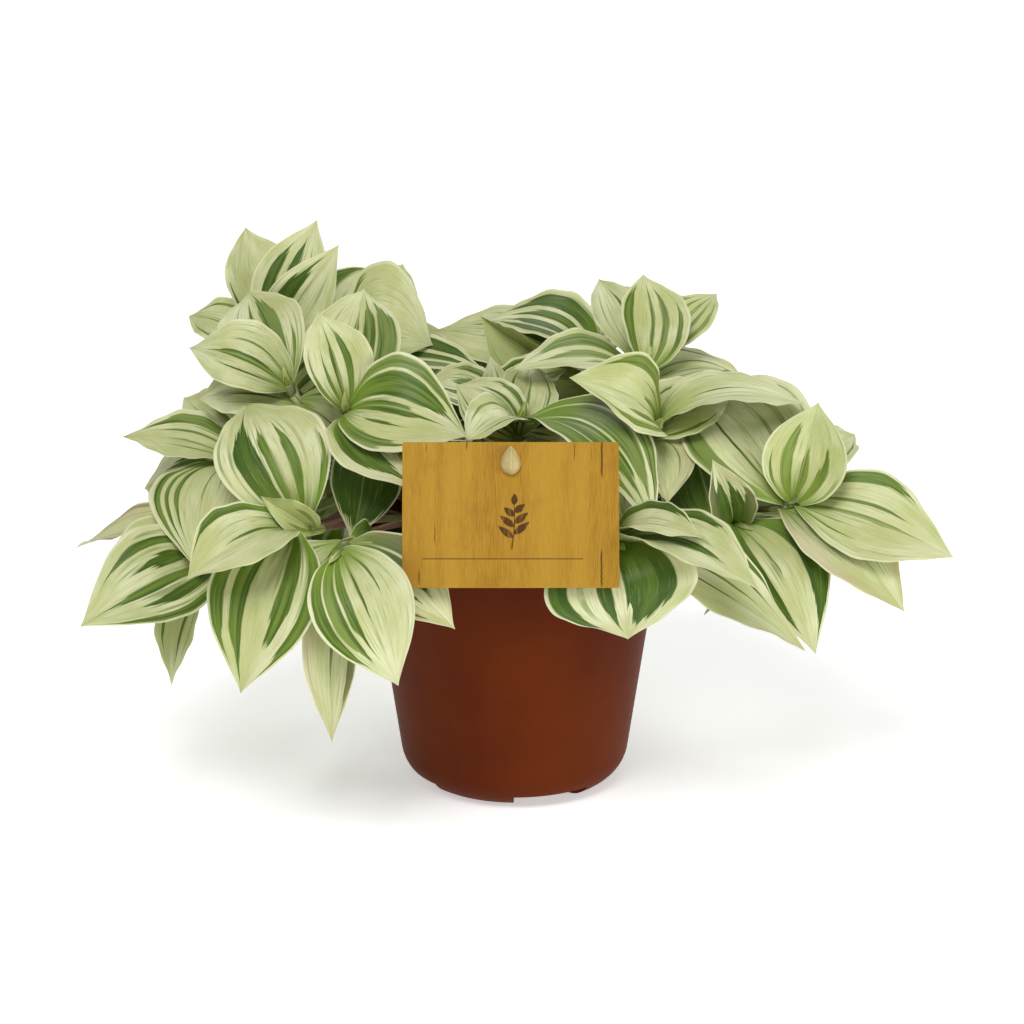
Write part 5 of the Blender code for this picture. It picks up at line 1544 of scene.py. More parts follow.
@dataclass(frozen=True)
class BladeForm:
    """The form that all blades share, and the places across and along at which they are tested."""

    thickness: float = 0.8
    base_share: float = 0.01
    base_power: float = 1.05
    tip_power: float = 1.25
    base_cup: float = 0.4
    bow_skew: float = 0.9
    fold_power: float = 1.3
    waves: float = 1.6
    wave_size: tuple = (0.6, 1.8)
    front_rows: tuple = (0.0, 0.13, 0.32, 0.54, 0.78, 1.0)
    front_columns: tuple = (-1.0, -0.55, 0.0, 0.55, 1.0)
    back_rows: tuple = (0.0, 0.15, 0.42, 0.72, 1.0)
    back_columns: tuple = (-1.0, 0.0, 1.0)
    middle_half: float = 0.34
    edge_half: float = 0.13
    groove: float = 0.45
    frill: float = 0.4
    frill_waves: float = 5.3
    groove_half: float = 0.09
    end_share: float = 0.35
    fullness: float = 2.2

    def half_breadth(self, t: float) -> float:
        """Half of a blade's width at t along it, as a share of its widest half.

        Args:
            t: the place along the blade, 0 to 1.

        Returns:
            The share.
        """
        peak = (self.base_power - self.tip_power * self.base_share) / (self.base_power + self.tip_power)
        widest = (peak + self.base_share) ** self.base_power * (1 - peak) ** self.tip_power
        return (t + self.base_share) ** self.base_power * (1 - t) ** self.tip_power / widest


FORM = BladeForm()


class Blade(NamedTuple):
    """A leaf blade: from its base to its tip, and how it bends."""

    base: Vector
    tip: Vector
    face: Vector
    width: float
    bow: float
    fold: float
    wave: float
    phase: float
    rows: tuple
    columns: tuple

    def frames(self) -> list[tuple]:
        """The frames across the blade: middle, side and upper directions, half width, lifts.

        Returns:
            A frame for each row.
        """
        chord = self.tip - self.base
        length = chord.length
        along = chord / length
        upper = (self.face - along * self.face.dot(along)).normalized()
        side = along.cross(upper)
        frames = []
        for t in self.rows:
            turn = math.pi * t ** FORM.bow_skew
            arch = math.sin(turn)
            slope = math.pi * FORM.bow_skew * max(t, FORM.base_share) ** (FORM.bow_skew - 1) * math.cos(turn)
            middle = self.base + along * (length * t) + upper * (length * self.bow * arch)
            tangent = (along + upper * (self.bow * slope)).normalized()
            normal = side.cross(tangent)
            half = 0.5 * self.width * FORM.half_breadth(t)
            fold = self.fold + FORM.base_cup * (1 - t) ** 3
            ruffle = self.wave * math.sin(2 * math.pi * (FORM.waves * t + self.phase))
            frames.append((middle, side, normal, half, fold, ruffle))
        return frames

    def shell(self, thickness: float, margin: float = 0.0) -> Shell:
        """The corners and triangles that the blade is tested by.

        Args:
            thickness: its thickness.
            margin: how much room is added around it.

        Returns:
            Its corners and triangles.
        """
        corners = []
        inner = self.columns[1:-1]
        frames = self.frames()
        for middle, side, normal, half, fold, ruffle in frames[:-1]:
            ring = []
            for s in self.columns:
                reach = s * (half + margin)
                lift = abs(s) ** FORM.fold_power * half * fold + s * abs(s) * ruffle
                spread = math.cos(fold) if abs(s) > 0 else 1.0
                ring.append(middle + side * (reach * spread) + normal * lift)
            offset = normal * (0.5 * thickness + margin)
            under = [ring[i + 1] - offset for i in range(len(inner))]
            ring[1:-1] = [point + offset for point in ring[1:-1]]
            corners += ring + under[::-1]
        corners.append(frames[-1][0] + (frames[-1][0] - frames[-2][0]).normalized() * margin)
        return corners, self.faces()

    def faces(self) -> list[tuple[int, ...]]:
        """The triangles of the test shell, split alike on both faces.

        Returns:
            The triangles.
        """
        row_count, column_count = len(self.rows), len(self.columns)
        around = 2 * column_count - 2
        upper = list(range(column_count))
        lower = [0] + [around - j for j in range(1, column_count - 1)] + [column_count - 1]
        faces = []
        last = (row_count - 1) * around
        for i in range(row_count - 1):
            here, there = i * around, (i + 1) * around
            for j in range(column_count - 1):
                for line, flip in ((upper, False), (lower, True)):
                    a, b = here + line[j], here + line[j + 1]
                    if i == row_count - 2:
                        split = [(a, b, last)]
                    else:
                        c, d = there + line[j + 1], there + line[j]
                        split = [(a, b, c), (a, c, d)] if j % 2 else [(a, b, d), (b, c, d)]
                    faces += [face[::-1] for face in split] if flip else split
        for j in range(column_count - 1):
            a, b, c, d = upper[j], upper[j + 1], lower[j + 1], lower[j]
            if a != d:
                faces.append((a, d, c) if b != c else (a, d, b))
            if b != c:
                faces.append((a, c, b))
        return faces

    def outer_part(self, start: float) -> Blade:
        """The blade without its crowded base."""
        return self._replace(rows=tuple(t for t in self.rows if t >= start))


class Stem(NamedTuple):
    """A stem's course: out of its hole in the soil, then in one bend to its end."""

    root: Vector
    rise: Vector
    run: Vector
    end: Vector
    foot: Vector

    def points(self, pieces: int = 7) -> list[Vector]:
        """Its centre line."""
        curve = [bezier(self.root, self.rise, self.run, self.end, i / pieces) for i in range(pieces + 1)]
        return [self.foot] + curve


class Grown(NamedTuple):
    """A shoot that found its place: its stem and its blades, each with its leaf's look."""

    stem: Stem
    blades: list
    leaves: list


class Thicket:
    """Everything placed so far, so that what comes next can be kept clear of it."""

    def __init__(self, pot: Pot, soil: Soil, card: Card, stake: Stake) -> None:
        """Starts with the pot and what stands in it.

        Args:
            pot, soil, card, stake: the parts that the shoots grow around.
        """
        self.placed: list[tuple] = []
        self.seen_first: list[BVHTree] = []
        self.add("pot", lathe_shell((
            (pot.foot_radius, 0.0), (pot.wall_radius(14.0), 10.0),
            (pot.wall_radius(pot.height) + pot.band_step, pot.height),
            (pot.wall_radius(pot.height) - pot.wall, pot.height),
            (pot.wall_radius(soil.top) - pot.wall, soil.top),
        )))
        self.add("soil", lathe_shell((
            (pot.wall_radius(soil.top) - pot.wall, soil.top + soil.roughness),
            (0.5, soil.top + soil.dome + soil.roughness),
        )))
        up, out = card.axes()
        right = Vector((1, 0, 0))
        corners = [
            card.middle + right * (x * card.width / 2) + up * (y * card.height / 2) + out * z
            for x, y, z in ((-1, -1, 0), (1, -1, 0), (1, 1, 0), (-1, 1, 0),
                            (-1, -1, 1), (1, -1, 1), (1, 1, 1), (-1, 1, 1))
        ]
        self.add("card", (corners, [(0, 1, 2, 3), (4, 5, 6, 7), (0, 1, 5, 4), (2, 3, 7, 6)]))
        self.add("card_stake", tube_shell(stake.points(card, soil)[1:], stake.radius + 1.0))

    def add(self, owner: str, shell: Shell, outer: Optional[Shell] = None) -> None:
        """Keeps a piece; outer is what its own siblings must stay clear of."""
        whole = BVHTree.FromPolygons(*shell)
        self.placed.append((owner, whole, BVHTree.FromPolygons(*outer) if outer else None))

    def clear(self, owner: str, shell: Shell, outer: Optional[Shell] = None) -> bool:
        """Whether a piece touches nothing of another owner, nor its siblings' outer parts.

        Args:
            owner: the shoot that it belongs to.
            shell: the piece.
            outer: its part beyond its crowded base.

        Returns:
            Whether it fits.
        """
        whole = BVHTree.FromPolygons(*shell)
        tip = BVHTree.FromPolygons(*outer) if outer else None
        for other, tree, others_tip in self.placed:
            if other != owner and whole.overlap(tree):
                return False
            if other == owner and tip and others_tip and tip.overlap(others_tip):
                return False
        return True

    def in_front(self, points: Sequence[Vector], reach: float) -> bool:
        """Whether any of the points hides a front leaf from the eye.

        Args:
            points: the points.
            reach: how far behind them a leaf is looked for.

        Returns:
            Whether one does.
        """
        _, _, nearer = EYE.axes()
        eye = EYE.look_at + nearer * EYE.distance
        for point in points:
            away = (point - eye).normalized()
            for tree in self.seen_first:
                if tree.ray_cast(point + away, away, reach)[0]:
                    return True
        return False


Ways = tuple[tuple[tuple, float], ...]


@dataclass(frozen=True)
class Foliage:
    """Lays out the shoots: those of the front as listed, the rest in rings by a seeded rule."""

    pot: Pot
    soil: Soil
    stake: Stake
    thicket: Thicket
    stem_radius: float = 1.6
    stem_rise: float = 0.4
    stem_run: float = 0.33
    stem_leans: tuple = (0, 5, 9, 13, 18, 24)
    stem_lean_turns: int = 8
    root_shares: tuple = (0.33, 0.26, 0.4, 0.2, 0.14, 0.08)
    root_turns: tuple = (0, -10, 10, -20, 20, -32, 32, -45, 45)
    root_spacing: float = 6.5
    root_limit: float = 40.0
    root_to_stake: float = 9.0
    clearance: float = 0.5
    free_from: float = 0.1
    ground_clearance: float = 4.0
    sight_length: float = 300.0
    rings: tuple = (
        ("shoot_back_low", 9, 102.0, 98.0, -0.5),
        ("shoot_back_middle", 7, 80.0, 126.0, 0.5),
        ("shoot_back_top", 4, 42.0, 140.0, 1.2),
    )
    sweep: tuple = (math.radians(-8.0), math.radians(188.0))
    angle_spread: float = 0.12
    out_spread: tuple = (0.9, 1.1)
    height_spread: tuple = (0.94, 1.04)
    back_leaves: int = 5
    back_length: tuple = (62.0, 84.0)
    back_width_share: tuple = (0.56, 0.68)
    back_bow: tuple = (0.14, 0.26)
    back_fold: tuple = (0.12, 0.35)
    young_share: float = 0.75
    node_spacing: float = 7.0
    outline_margin: float = 2.0
    leaf_turn: float = math.radians(137.5)
    leaf_open: tuple = (math.radians(52.0), math.radians(84.0))
    leaf_droop: float = 0.22
    reach_back: float = 158.0
    reach_side: float = 176.0
    skyline: tuple = (
        (-178, -12), (-150, 38), (-135, 70), (-118, 112), (-62, 112), (-45, 100), (-33, 84),
        (0, 80), (20, 80), (30, 96), (80, 84), (95, 56), (128, 42), (140, 28), (178, -14),
    )
    hemline: tuple = (
        (-178, -45), (-140, -62), (-110, -68), (-75, -85), (-58, -50), (-50, -110),
        (50, -110), (56, -42), (90, -42), (120, -54), (127, -20), (158, -36), (178, -18),
    )
    front_ways: tuple = (
        ((0, -8, 8, -16, 16, -26, 26, -38, 38, -52, 52, -70), 1 / 12),
        ((0, -18, 18, -36, 36, -54, 54), 1 / 20),
        ((0, 4, 8, 13), 1 / 7),
        ((0.0, 0.1, 0.22, 0.34), 14.0),
    )
    back_ways: tuple = (
        ((0, -15, 15, -30, 30, -45, 45), 1 / 15),
        ((0, -15, 15, -30, 30), 1 / 15),
        ((0, -25, 25), 1 / 25),
        ((0.0, 0.15, 0.3), 9.0),
    )

    def trials(self, ways: Ways) -> list[tuple]:
        """Every mix of ways to bend a leaf, the slightest first.

        Args:
            ways: for each way its steps and the price of a step.

        Returns:
            The mixes, each with its cost first.
        """
        mixes = []
        for steps in product(*(way for way, _ in ways)):
            cost = sum(abs(step) * price for step, (_, price) in zip(steps, ways))
            mixes.append((cost, *steps))
        return sorted(mixes)

    def is_clear(self, owner: str, blade: Blade) -> bool:
        """Whether a blade, with its clearance, fits among what is placed.

        Args:
            owner: its shoot's name.
            blade: the blade.

        Returns:
            Whether it fits.
        """
        whole = blade.shell(FORM.thickness, self.clearance)
        if min(corner.z for corner in whole[0]) < self.ground_clearance:
            return False
        outer = blade.outer_part(self.free_from).shell(FORM.thickness, self.clearance)
        return self.thicket.clear(owner, whole, outer)

    def keep(self, owner: str, blade: Blade, is_front: bool) -> None:
        """Adds a blade to the thicket.

        Args:
            owner: its shoot's name.
            blade: the blade.
            is_front: whether no leaf of the back may hide it.
        """
        shell = blade.shell(FORM.thickness)
        self.thicket.add(owner, shell, blade.outer_part(self.free_from).shell(FORM.thickness))
        if is_front:
            self.thicket.seen_first.append(BVHTree.FromPolygons(*shell))

    def settle_front_leaf(self, owner: str, leaf: Leaf, points: list[Vector],
                          rng: random.Random) -> Optional[Blade]:
        """Bends a front leaf clear of what is placed, or gives it up.

        Args:
            owner: its shoot's name.
            leaf: the leaf.
            points: its stem's centre line.
            rng: the source of chance.

        Returns:
            The blade, or None.
        """
        wave, phase = rng.uniform(*FORM.wave_size), rng.random()
        for _, near, roll, slide, loss in self.trials(self.front_ways):
            base = back_along(points, leaf.down + slide)
            tip = EYE.point((leaf.tip[0], leaf.tip[1], leaf.tip[2] + near))
            chord = (tip - base) * (1 - loss) ** 0.5
            face = Quaternion(chord.normalized(), math.radians(roll)) @ EYE.direction(leaf.face)
            blade = Blade(base, base + chord, face, leaf.width * (1 - loss), leaf.bow, leaf.fold,
                          wave, phase, FORM.front_rows, FORM.front_columns)
            if self.is_clear(owner, blade):
                return blade
        return None

    def line_height(self, line: tuple, right: float) -> Optional[float]:
        """The height of a line of (right, up) points at a place along it.

        Args:
            line: its points.
            right: the place.

        Returns:
            The height, or None beyond its ends.
        """
        for (u0, v0), (u1, v1) in zip(line, line[1:]):
            if u0 <= right <= u1:
                return v0 + (v1 - v0) * (right - u0) / (u1 - u0)
        return None

    def inside_outline(self, points: Sequence[Vector]) -> bool:
        """Whether points of the back stay inside the foliage's outline as seen, and its reach.

        Args:
            points: the points.

        Returns:
            Whether all of them do.
        """
        for point in points:
            right, up, _ = EYE.seen(point)
            if abs(point.x) > self.reach_side or point.y > self.reach_back:
                return False
            top, bottom = self.line_height(self.skyline, right), self.line_height(self.hemline, right)
            if top is None or up > top - self.outline_margin or up < bottom + self.outline_margin:
                return False
        return True

    def settle_back_leaf(self, owner: str, base: Vector, chord: Vector, face: Vector,
                         width: float, rng: random.Random) -> Optional[Blade]:
        """Bends a leaf of the back clear of what is placed and behind the front, or gives it up.

        Args:
            owner: its shoot's name.
            base: where it starts.
            chord: from its base to its tip.
            face: its upper direction.
            width: its width.
            rng: the source of chance.

        Returns:
            The blade, or None.
        """
        wave, phase = rng.uniform(*FORM.wave_size), rng.random()
        bow, fold = rng.uniform(*self.back_bow), rng.uniform(*self.back_fold)
        across = chord.cross(face).normalized()
        for _, swing, lift, roll, loss in self.trials(self.back_ways):
            turn = Quaternion(face, math.radians(swing)) @ Quaternion(across, math.radians(lift))
            reach = (turn @ chord) * (1 - loss)
            upper = Quaternion(reach.normalized(), math.radians(roll)) @ face
            blade = Blade(base, base + reach, upper, width * (1 - loss), bow, fold, wave, phase,
                          FORM.back_rows, FORM.back_columns)
            probes = blade.outer_part(self.free_from).shell(FORM.thickness)[0]
            if self.inside_outline(probes) and self.is_clear(owner, blade):
                if not self.thicket.in_front(probes, self.sight_length):
                    return blade
        return None

    def settle_stem(self, owner: str, root: Vector, end: Vector, heading: Vector) -> Optional[Stem]:
        """Leans a stem until it passes everything placed.

        Args:
            owner: its shoot's name.
            root: its place in the soil.
            end: its end.
            heading: the direction of its end.

        Returns:
            The stem, or None.
        """
        span = (end - root).length
        for lean in self.stem_leans:
            for turn in range(self.stem_lean_turns if lean else 1):
                angle = 2 * math.pi * turn / self.stem_lean_turns
                sideways = Vector((lean * math.cos(angle), lean * math.sin(angle), 0))
                rise = root + Vector((sideways.x, sideways.y, self.stem_rise * span))
                run = end - heading * (self.stem_run * span)
                foot = root - Vector((0, 0, self.soil.hole_depth - self.soil.gap))
                stem = Stem(root, rise, run, end, foot)
                shell = tube_shell(stem.points()[2:], self.stem_radius + self.clearance)
                if self.thicket.clear(owner, shell):
                    return stem
        return None

    def pick_root(self, roots: list[Vector], end: Vector) -> Optional[Vector]:
        """A free place in the soil on the way to a stem's end.

        Args:
            roots: the places that are taken.
            end: the stem's end.

        Returns:
            The place, or None.
        """
        rim = self.pot.wall_radius(self.soil.top)
        flat = Vector((end.x, end.y, 0))
        for share in self.root_shares:
            for turn in self.root_turns:
                place = Quaternion((0, 0, 1), math.radians(turn)) @ (flat * share)
                place.z = self.soil.top + self.soil.dome * (1 - (place.xy.length / rim) ** 2)
                apart = all((place - other).xy.length > self.root_spacing for other in roots)
                past_stake = (place - self.stake.foot).xy.length > self.root_to_stake
                if apart and past_stake and place.xy.length < self.root_limit:
                    return place
        return None

    def grow_front(self, roots: list[Vector]) -> dict[str, Grown]:
        """Lays out the front shoots.

        Args:
            roots: the places that are taken.

        Returns:
            The shoots by name.
        """
        grown: dict[str, Grown] = {}
        rng = random.Random(SEED)
        for shoot in SHOOTS:
            end, heading = EYE.point(shoot.end), EYE.direction(shoot.heading)
            root = self.pick_root(roots, end)
            stem = self.settle_stem(shoot.name, root, end, heading) if root else None
            if stem is None:
                continue
            roots.append(root)
            self.thicket.add(shoot.name, tube_shell(stem.points()[1:], self.stem_radius))
            grown[shoot.name] = Grown(stem, [], [])
        for shoot in SHOOTS:
            if shoot.name not in grown:
                continue
            stem, blades, leaves = grown[shoot.name]
            for leaf in shoot.leaves:
                blade = self.settle_front_leaf(shoot.name, leaf, stem.points(), rng)
                if blade:
                    self.keep(shoot.name, blade, True)
                    blades.append(blade)
                    leaves.append(leaf)
        return grown

    def grow_back(self, roots: list[Vector]) -> dict[str, Grown]:
        """Lays out the shoots of the sides and the back.

        Args:
            roots: the places that are taken.

        Returns:
            The shoots by name.
        """
        grown: dict[str, Grown] = {}
        rng = random.Random(BACK_SEED)
        for ring, count, out, height, upright in self.rings:
            for i in range(count):
                share = (i + 0.5) / count
                angle = self.sweep[0] + (self.sweep[1] - self.sweep[0]) * share
                angle += rng.uniform(-self.angle_spread, self.angle_spread)
                outward = Vector((math.cos(angle), math.sin(angle), 0))
                end = outward * (out * rng.uniform(*self.out_spread))
                end.z = height * rng.uniform(*self.height_spread)
                heading = (outward + Vector((0, 0, upright))).normalized()
                name = f"{ring}_{i + 1}"
                shoot = self.grow_back_shoot(roots, name, end, heading, rng)
                if shoot:
                    grown[name] = shoot
        return grown

    def grow_back_shoot(self, roots: list[Vector], name: str, end: Vector,
                        heading: Vector, rng: random.Random) -> Optional[Grown]:
        """One shoot of the back with its leaves turned about its stem, or None if it won't fit.

        Args:
            roots: the places that are taken.
            name: its name.
            end: its stem's end.
            heading: the direction of that end.
            rng: the source of chance.

        Returns:
            The shoot, or None.
        """
        root = self.pick_root(roots, end)
        stem = self.settle_stem(name, root, end, heading) if root else None
        if stem is None:
            return None
        points = stem.points()
        self.thicket.add(name, tube_shell(points[1:], self.stem_radius))
        blades: list[Blade] = []
        around = heading.orthogonal().normalized()
        start = rng.uniform(0, 2 * math.pi)
        for k in range(self.back_leaves):
            age = k / (self.back_leaves - 1)
            turn = Quaternion(heading, start + self.leaf_turn * k)
            opened = self.leaf_open[0] + (self.leaf_open[1] - self.leaf_open[0]) * age
            reach = heading * math.cos(opened) + (turn @ around) * math.sin(opened)
            reach = (reach - Vector((0, 0, self.leaf_droop))).normalized()
            grown_share = self.young_share + (1 - self.young_share) * min(1.0, 2 * age)
            length = rng.uniform(*self.back_length) * grown_share
            face = (heading - reach * heading.dot(reach)).normalized()
            base = back_along(points, self.node_spacing * k)
            width = length * rng.uniform(*self.back_width_share)
            blade = self.settle_back_leaf(name, base, reach * length, face, width, rng)
            if blade:
                self.keep(name, blade, False)
                blades.append(blade)
        if not blades:
            self.thicket.placed.pop()
            return None
        roots.append(root)
        return Grown(stem, blades, [None] * len(blades))

    def grow(self) -> dict[str, Grown]:
        """Lays out all the shoots, by name."""
        roots: list[Vector] = []
        return {**self.grow_front(roots), **self.grow_back(roots)}


@dataclass(frozen=True)
class LeafyShoot:
    """The fine body of a shoot: its jointed stem, its blades on their sheaths, and a growing tip."""

    plot: Plot
    rng: random.Random
    finishes: tuple
    stem_radius: float = 1.6
    stem_pieces: int = 36
    stem_sides: int = 14
    rows: int = 46
    columns: int = 25
    back_rows: int = 34
    back_columns: int = 17
    sheath_length: float = 7.0
    sheath_radius: float = 2.15
    bud_length: float = 15.0
    bud_radius: float = 1.9
    bud_steps: int = 12
    bud_bend: float = 1.6
    bud_start: float = 0.12
    node_length: float = 3.0
    node_swelling: float = 0.3
    sheath_form: tuple = ((-0.5, 0.75), (-0.35, 0.92), (0.0, 1.0), (0.35, 1.08), (0.5, 1.02))

    def stripes_for(self, leaf: Optional[Leaf]) -> tuple[list[Stripe], float, float]:
        """The stripes of a blade, how young it is and how flushed.

        Args:
            leaf: the leaf of the front, or None for one that is striped by rule.

        Returns:
            Its stripes, then the two shares from 0 to 1.
        """
        if leaf and not isinstance(leaf.look, Kind):
            return [Stripe(*row) for row in leaf.look], leaf.young, leaf.rosy
        kinds = (Kind.PALE, Kind.LINED, Kind.LINED, Kind.BANDED, Kind.BANDED, Kind.BANDED,
                 Kind.GREEN, Kind.GREEN)
        kind = leaf.look if leaf else self.rng.choice(kinds)
        counts, halves, tones = kind.value
        count = self.rng.randint(*counts)
        stripes = []
        for i in range(count):
            centre = -1 + 2 * (i + 0.5) / count + self.rng.uniform(-0.22, 0.22) / count
            half = self.rng.uniform(*halves)
            stripes.append(Stripe(centre, half, self.rng.choice(tones), start=self.rng.uniform(0.0, 0.08),
                                  end=self.rng.uniform(0.7, 1.0)))
        return stripes, 0.0, self.rng.choice((0.0, 0.0, 0.0, 0.3))

    def traits(self, leaf: Optional[Leaf]) -> dict[str, tuple]:
        """What the leaf finish reads about one blade, for all its corners alike.

        Args:
            leaf: the leaf of the front, or None.

        Returns:
            The values by attribute.
        """
        stripes, young, rosy = self.stripes_for(leaf)
        values: dict[str, tuple] = {"blade_traits": (self.rng.uniform(0, 40), young, rosy)}
        for i in range(STRIPE_LIMIT):
            stripe = stripes[i] if i < len(stripes) else Stripe(0.0, 0.0)
            values[f"stripe_{i + 1}"] = (stripe.centre, stripe.half, stripe.tone.value)
            values[f"reach_{i + 1}"] = (stripe.start, stripe.end, 0.0)
        return values

    def add_blade(self, draft: Draft, blade: Blade, leaf: Optional[Leaf]) -> None:
        """Adds a blade: its two faces, thick along the rib and thin at the edge.

        Args:
            draft: the shoot's mesh.
            blade: the blade.
            leaf: the leaf of the front, or None.
        """
        rows, columns = (self.rows, self.columns) if leaf else (self.back_rows, self.back_columns)
        s = np.linspace(-1.0, 1.0, columns)
        share = np.linspace(0.0, 1.0, rows)
        frames = blade._replace(rows=tuple(share.tolist())).frames()
        middle, side, normal = (np.array([frame[i] for frame in frames]) for i in range(3))
        half, fold, ruffle = (np.array([frame[i] for frame in frames])[:, None] for i in range(3, 6))
        t = share[:, None]
        full = np.clip(FORM.fullness * np.array([FORM.half_breadth(v) for v in share]), 0, 1)[:, None]
        lift = np.abs(s) ** FORM.fold_power * half * fold + s * np.abs(s) * ruffle * full
        lift -= FORM.groove * np.exp(-(s / FORM.groove_half) ** 2) * full
        frill = np.sin(math.tau * (FORM.frill_waves * t + 3 * blade.phase) + np.sign(s) * 1.1)
        lift += FORM.frill * frill * np.abs(s) ** 4 * full
        reach = s * half * np.where(np.abs(s) > 0, np.cos(fold), 1.0)
        surface = middle[:, None] + side[:, None] * reach[..., None] + normal[:, None] * lift[..., None]
        thick = FORM.edge_half + (FORM.middle_half - FORM.edge_half) * (1 - np.abs(s) ** 1.5)
        thick = thick[None, :] * (FORM.end_share + (1 - FORM.end_share) * full) * (np.abs(s) < 1)
        offset = normal[:, None] * thick[..., None]
        upper = surface + offset
        lower = (surface - offset)[:, 1:-1]
        upper_place = np.stack(np.broadcast_arrays(s, t, np.where(np.abs(s) < 1, 1.0, 0.0)), axis=-1)
        lower_place = np.stack(np.broadcast_arrays(s[1:-1], t, -1.0), axis=-1)
        corners = np.concatenate([upper[:-1].reshape(-1, 3), lower[:-1].reshape(-1, 3), surface[-1:, 0]])
        place = np.concatenate([upper_place[:-1].reshape(-1, 3), lower_place[:-1].reshape(-1, 3),
                                [(0, 1, 0)]])
        draft.add(corners, self.blade_faces(rows - 1, columns), 0, blade_place=place,
                  **self.traits(leaf))

    def blade_faces(self, rows: int, columns: int) -> list[tuple[int, ...]]:
        """The faces of a blade whose last row is drawn to a point.

        Args:
            rows: how many rows of corners it has before its tip.
            columns: how many corners a row has.

        Returns:
            The faces.
        """
        below = rows * columns
        tip = below + rows * (columns - 2)

        def under(i: int, j: int) -> int:
            """The corner of the lower face at a row and a column; its edges are the upper face's."""
            return i * columns + j if j in (0, columns - 1) else below + i * (columns - 2) + j - 1

        faces = []
        for j in range(columns - 1):
            for i in range(rows - 1):
                a = i * columns + j
                faces.append((a, a + 1, a + columns + 1, a + columns))
                faces.append((under(i, j), under(i + 1, j), under(i + 1, j + 1), under(i, j + 1)))
            a = (rows - 1) * columns + j
            faces.append((a, a + 1, tip))
            faces.append((under(rows - 1, j), tip, under(rows - 1, j + 1)))
        faces.append(tuple(range(columns - 1, -1, -1)) + tuple(under(0, j) for j in range(1, columns - 1)))
        return faces

    def add_stem(self, draft: Draft, grown: Grown) -> None:
        """Adds the stem with a slight swelling at each node.

        Args:
            draft: the shoot's mesh.
            grown: its stem and blades.
        """
        points = grown.stem.points(self.stem_pieces)
        lengths = [0.0]
        for a, b in zip(points, points[1:]):
            lengths.append(lengths[-1] + (b - a).length)
        whole = lengths[-1]
        nodes = [min(range(len(points)), key=lambda i: (points[i] - blade.base).length)
                 for blade in grown.blades]
        radii, place = [], []
        for i, _ in enumerate(points):
            near = min((abs(lengths[i] - lengths[node]) for node in nodes), default=99.0)
            swell = math.exp(-(near / self.node_length) ** 2)
            taper = 1.0 - 0.25 * lengths[i] / whole
            radii.append(self.stem_radius * (taper + self.node_swelling * swell))
            for k in range(self.stem_sides):
                turn = 2 * k / self.stem_sides
                place.append((min(turn, 2 - turn), lengths[i], swell))
        place += [(0.5, 0.0, 0.0), (0.5, whole, 0.0)]
        shell = tube_shell(points, radii, self.stem_sides, capped=True)
        draft.add(*shell, 1, stem_place=place)

    def wrapped(self, width: float, shares: Sequence[float]) -> list[tuple[float, float, float]]:
        """The places on a blade of a sleeve's rings, each ring at one share of the blade's length."""
        return [(width * math.sin(math.tau * k / self.stem_sides), t, 1.0)
                for t in shares for k in range(self.stem_sides)]

    def add_sheath(self, draft: Draft, grown: Grown, blade: Blade, leaf: Optional[Leaf]) -> None:
        """Adds the sleeve by which a blade clasps its stem.

        Args:
            draft: the shoot's mesh.
            grown: its stem and blades.
            blade: the blade.
            leaf: the leaf of the front, or None.
        """
        points = grown.stem.points(self.stem_pieces)
        near = min(range(1, len(points)), key=lambda i: (points[i] - blade.base).length)
        run = (points[near] - points[near - 1]).normalized()
        line = [blade.base + run * (self.sheath_length * step) for step, _ in self.sheath_form]
        radii = [self.sheath_radius * size for _, size in self.sheath_form]
        shell = tube_shell(line, radii, self.stem_sides, capped=True)
        place = self.wrapped(0.9, [0.05 + 0.1 * i for i in range(len(line))])
        draft.add(*shell, 0, blade_place=[*place, (0, 0.05, 1.0), (0, 0.3, 1.0)], **self.traits(leaf))

    def add_bud(self, draft: Draft, grown: Grown) -> None:
        """Adds the growing tip: a young leaf, still rolled.

        Args:
            draft: the shoot's mesh.
            grown: its stem and blades.
        """
        points = grown.stem.points(self.stem_pieces)
        run = (points[-1] - points[-2]).normalized()
        side = run.orthogonal().normalized()
        shares = [i / self.bud_steps for i in range(self.bud_steps + 1)]
        line, radii = [], []
        for t in shares:
            reach = self.bud_length * (t - self.bud_start)
            line.append(points[-1] + run * reach + side * (self.bud_bend * t * t))
            turn = math.pi * (self.bud_start + (1 - self.bud_start) * t) ** 0.8
            radii.append(self.bud_radius * max(0.03, math.sin(turn)))
        place = self.wrapped(0.8, shares)
        shell = tube_shell(line, radii, self.stem_sides, capped=True)
        values = self.traits(None)
        values["blade_traits"] = (values["blade_traits"][0], 0.7, 0.0)
        draft.add(*shell, 0, blade_place=[*place, (0, 0, 1.0), (0, 1, 1.0)], **values)

    def build(self, name: str, grown: Grown) -> None:
        """Makes a shoot and lets it stand for its solid.

        Args:
            name: the shoot's name in the frame.
            grown: its stem and blades.
        """
        draft = Draft()
        self.add_stem(draft, grown)
        for blade, leaf in zip(grown.blades, grown.leaves):
            self.add_blade(draft, blade, leaf)
            self.add_sheath(draft, grown, blade, leaf)
        self.add_bud(draft, grown)
        declare(draft.item(name.replace("shoot", "leafy"), self.plot, self.finishes), "leaf", name)


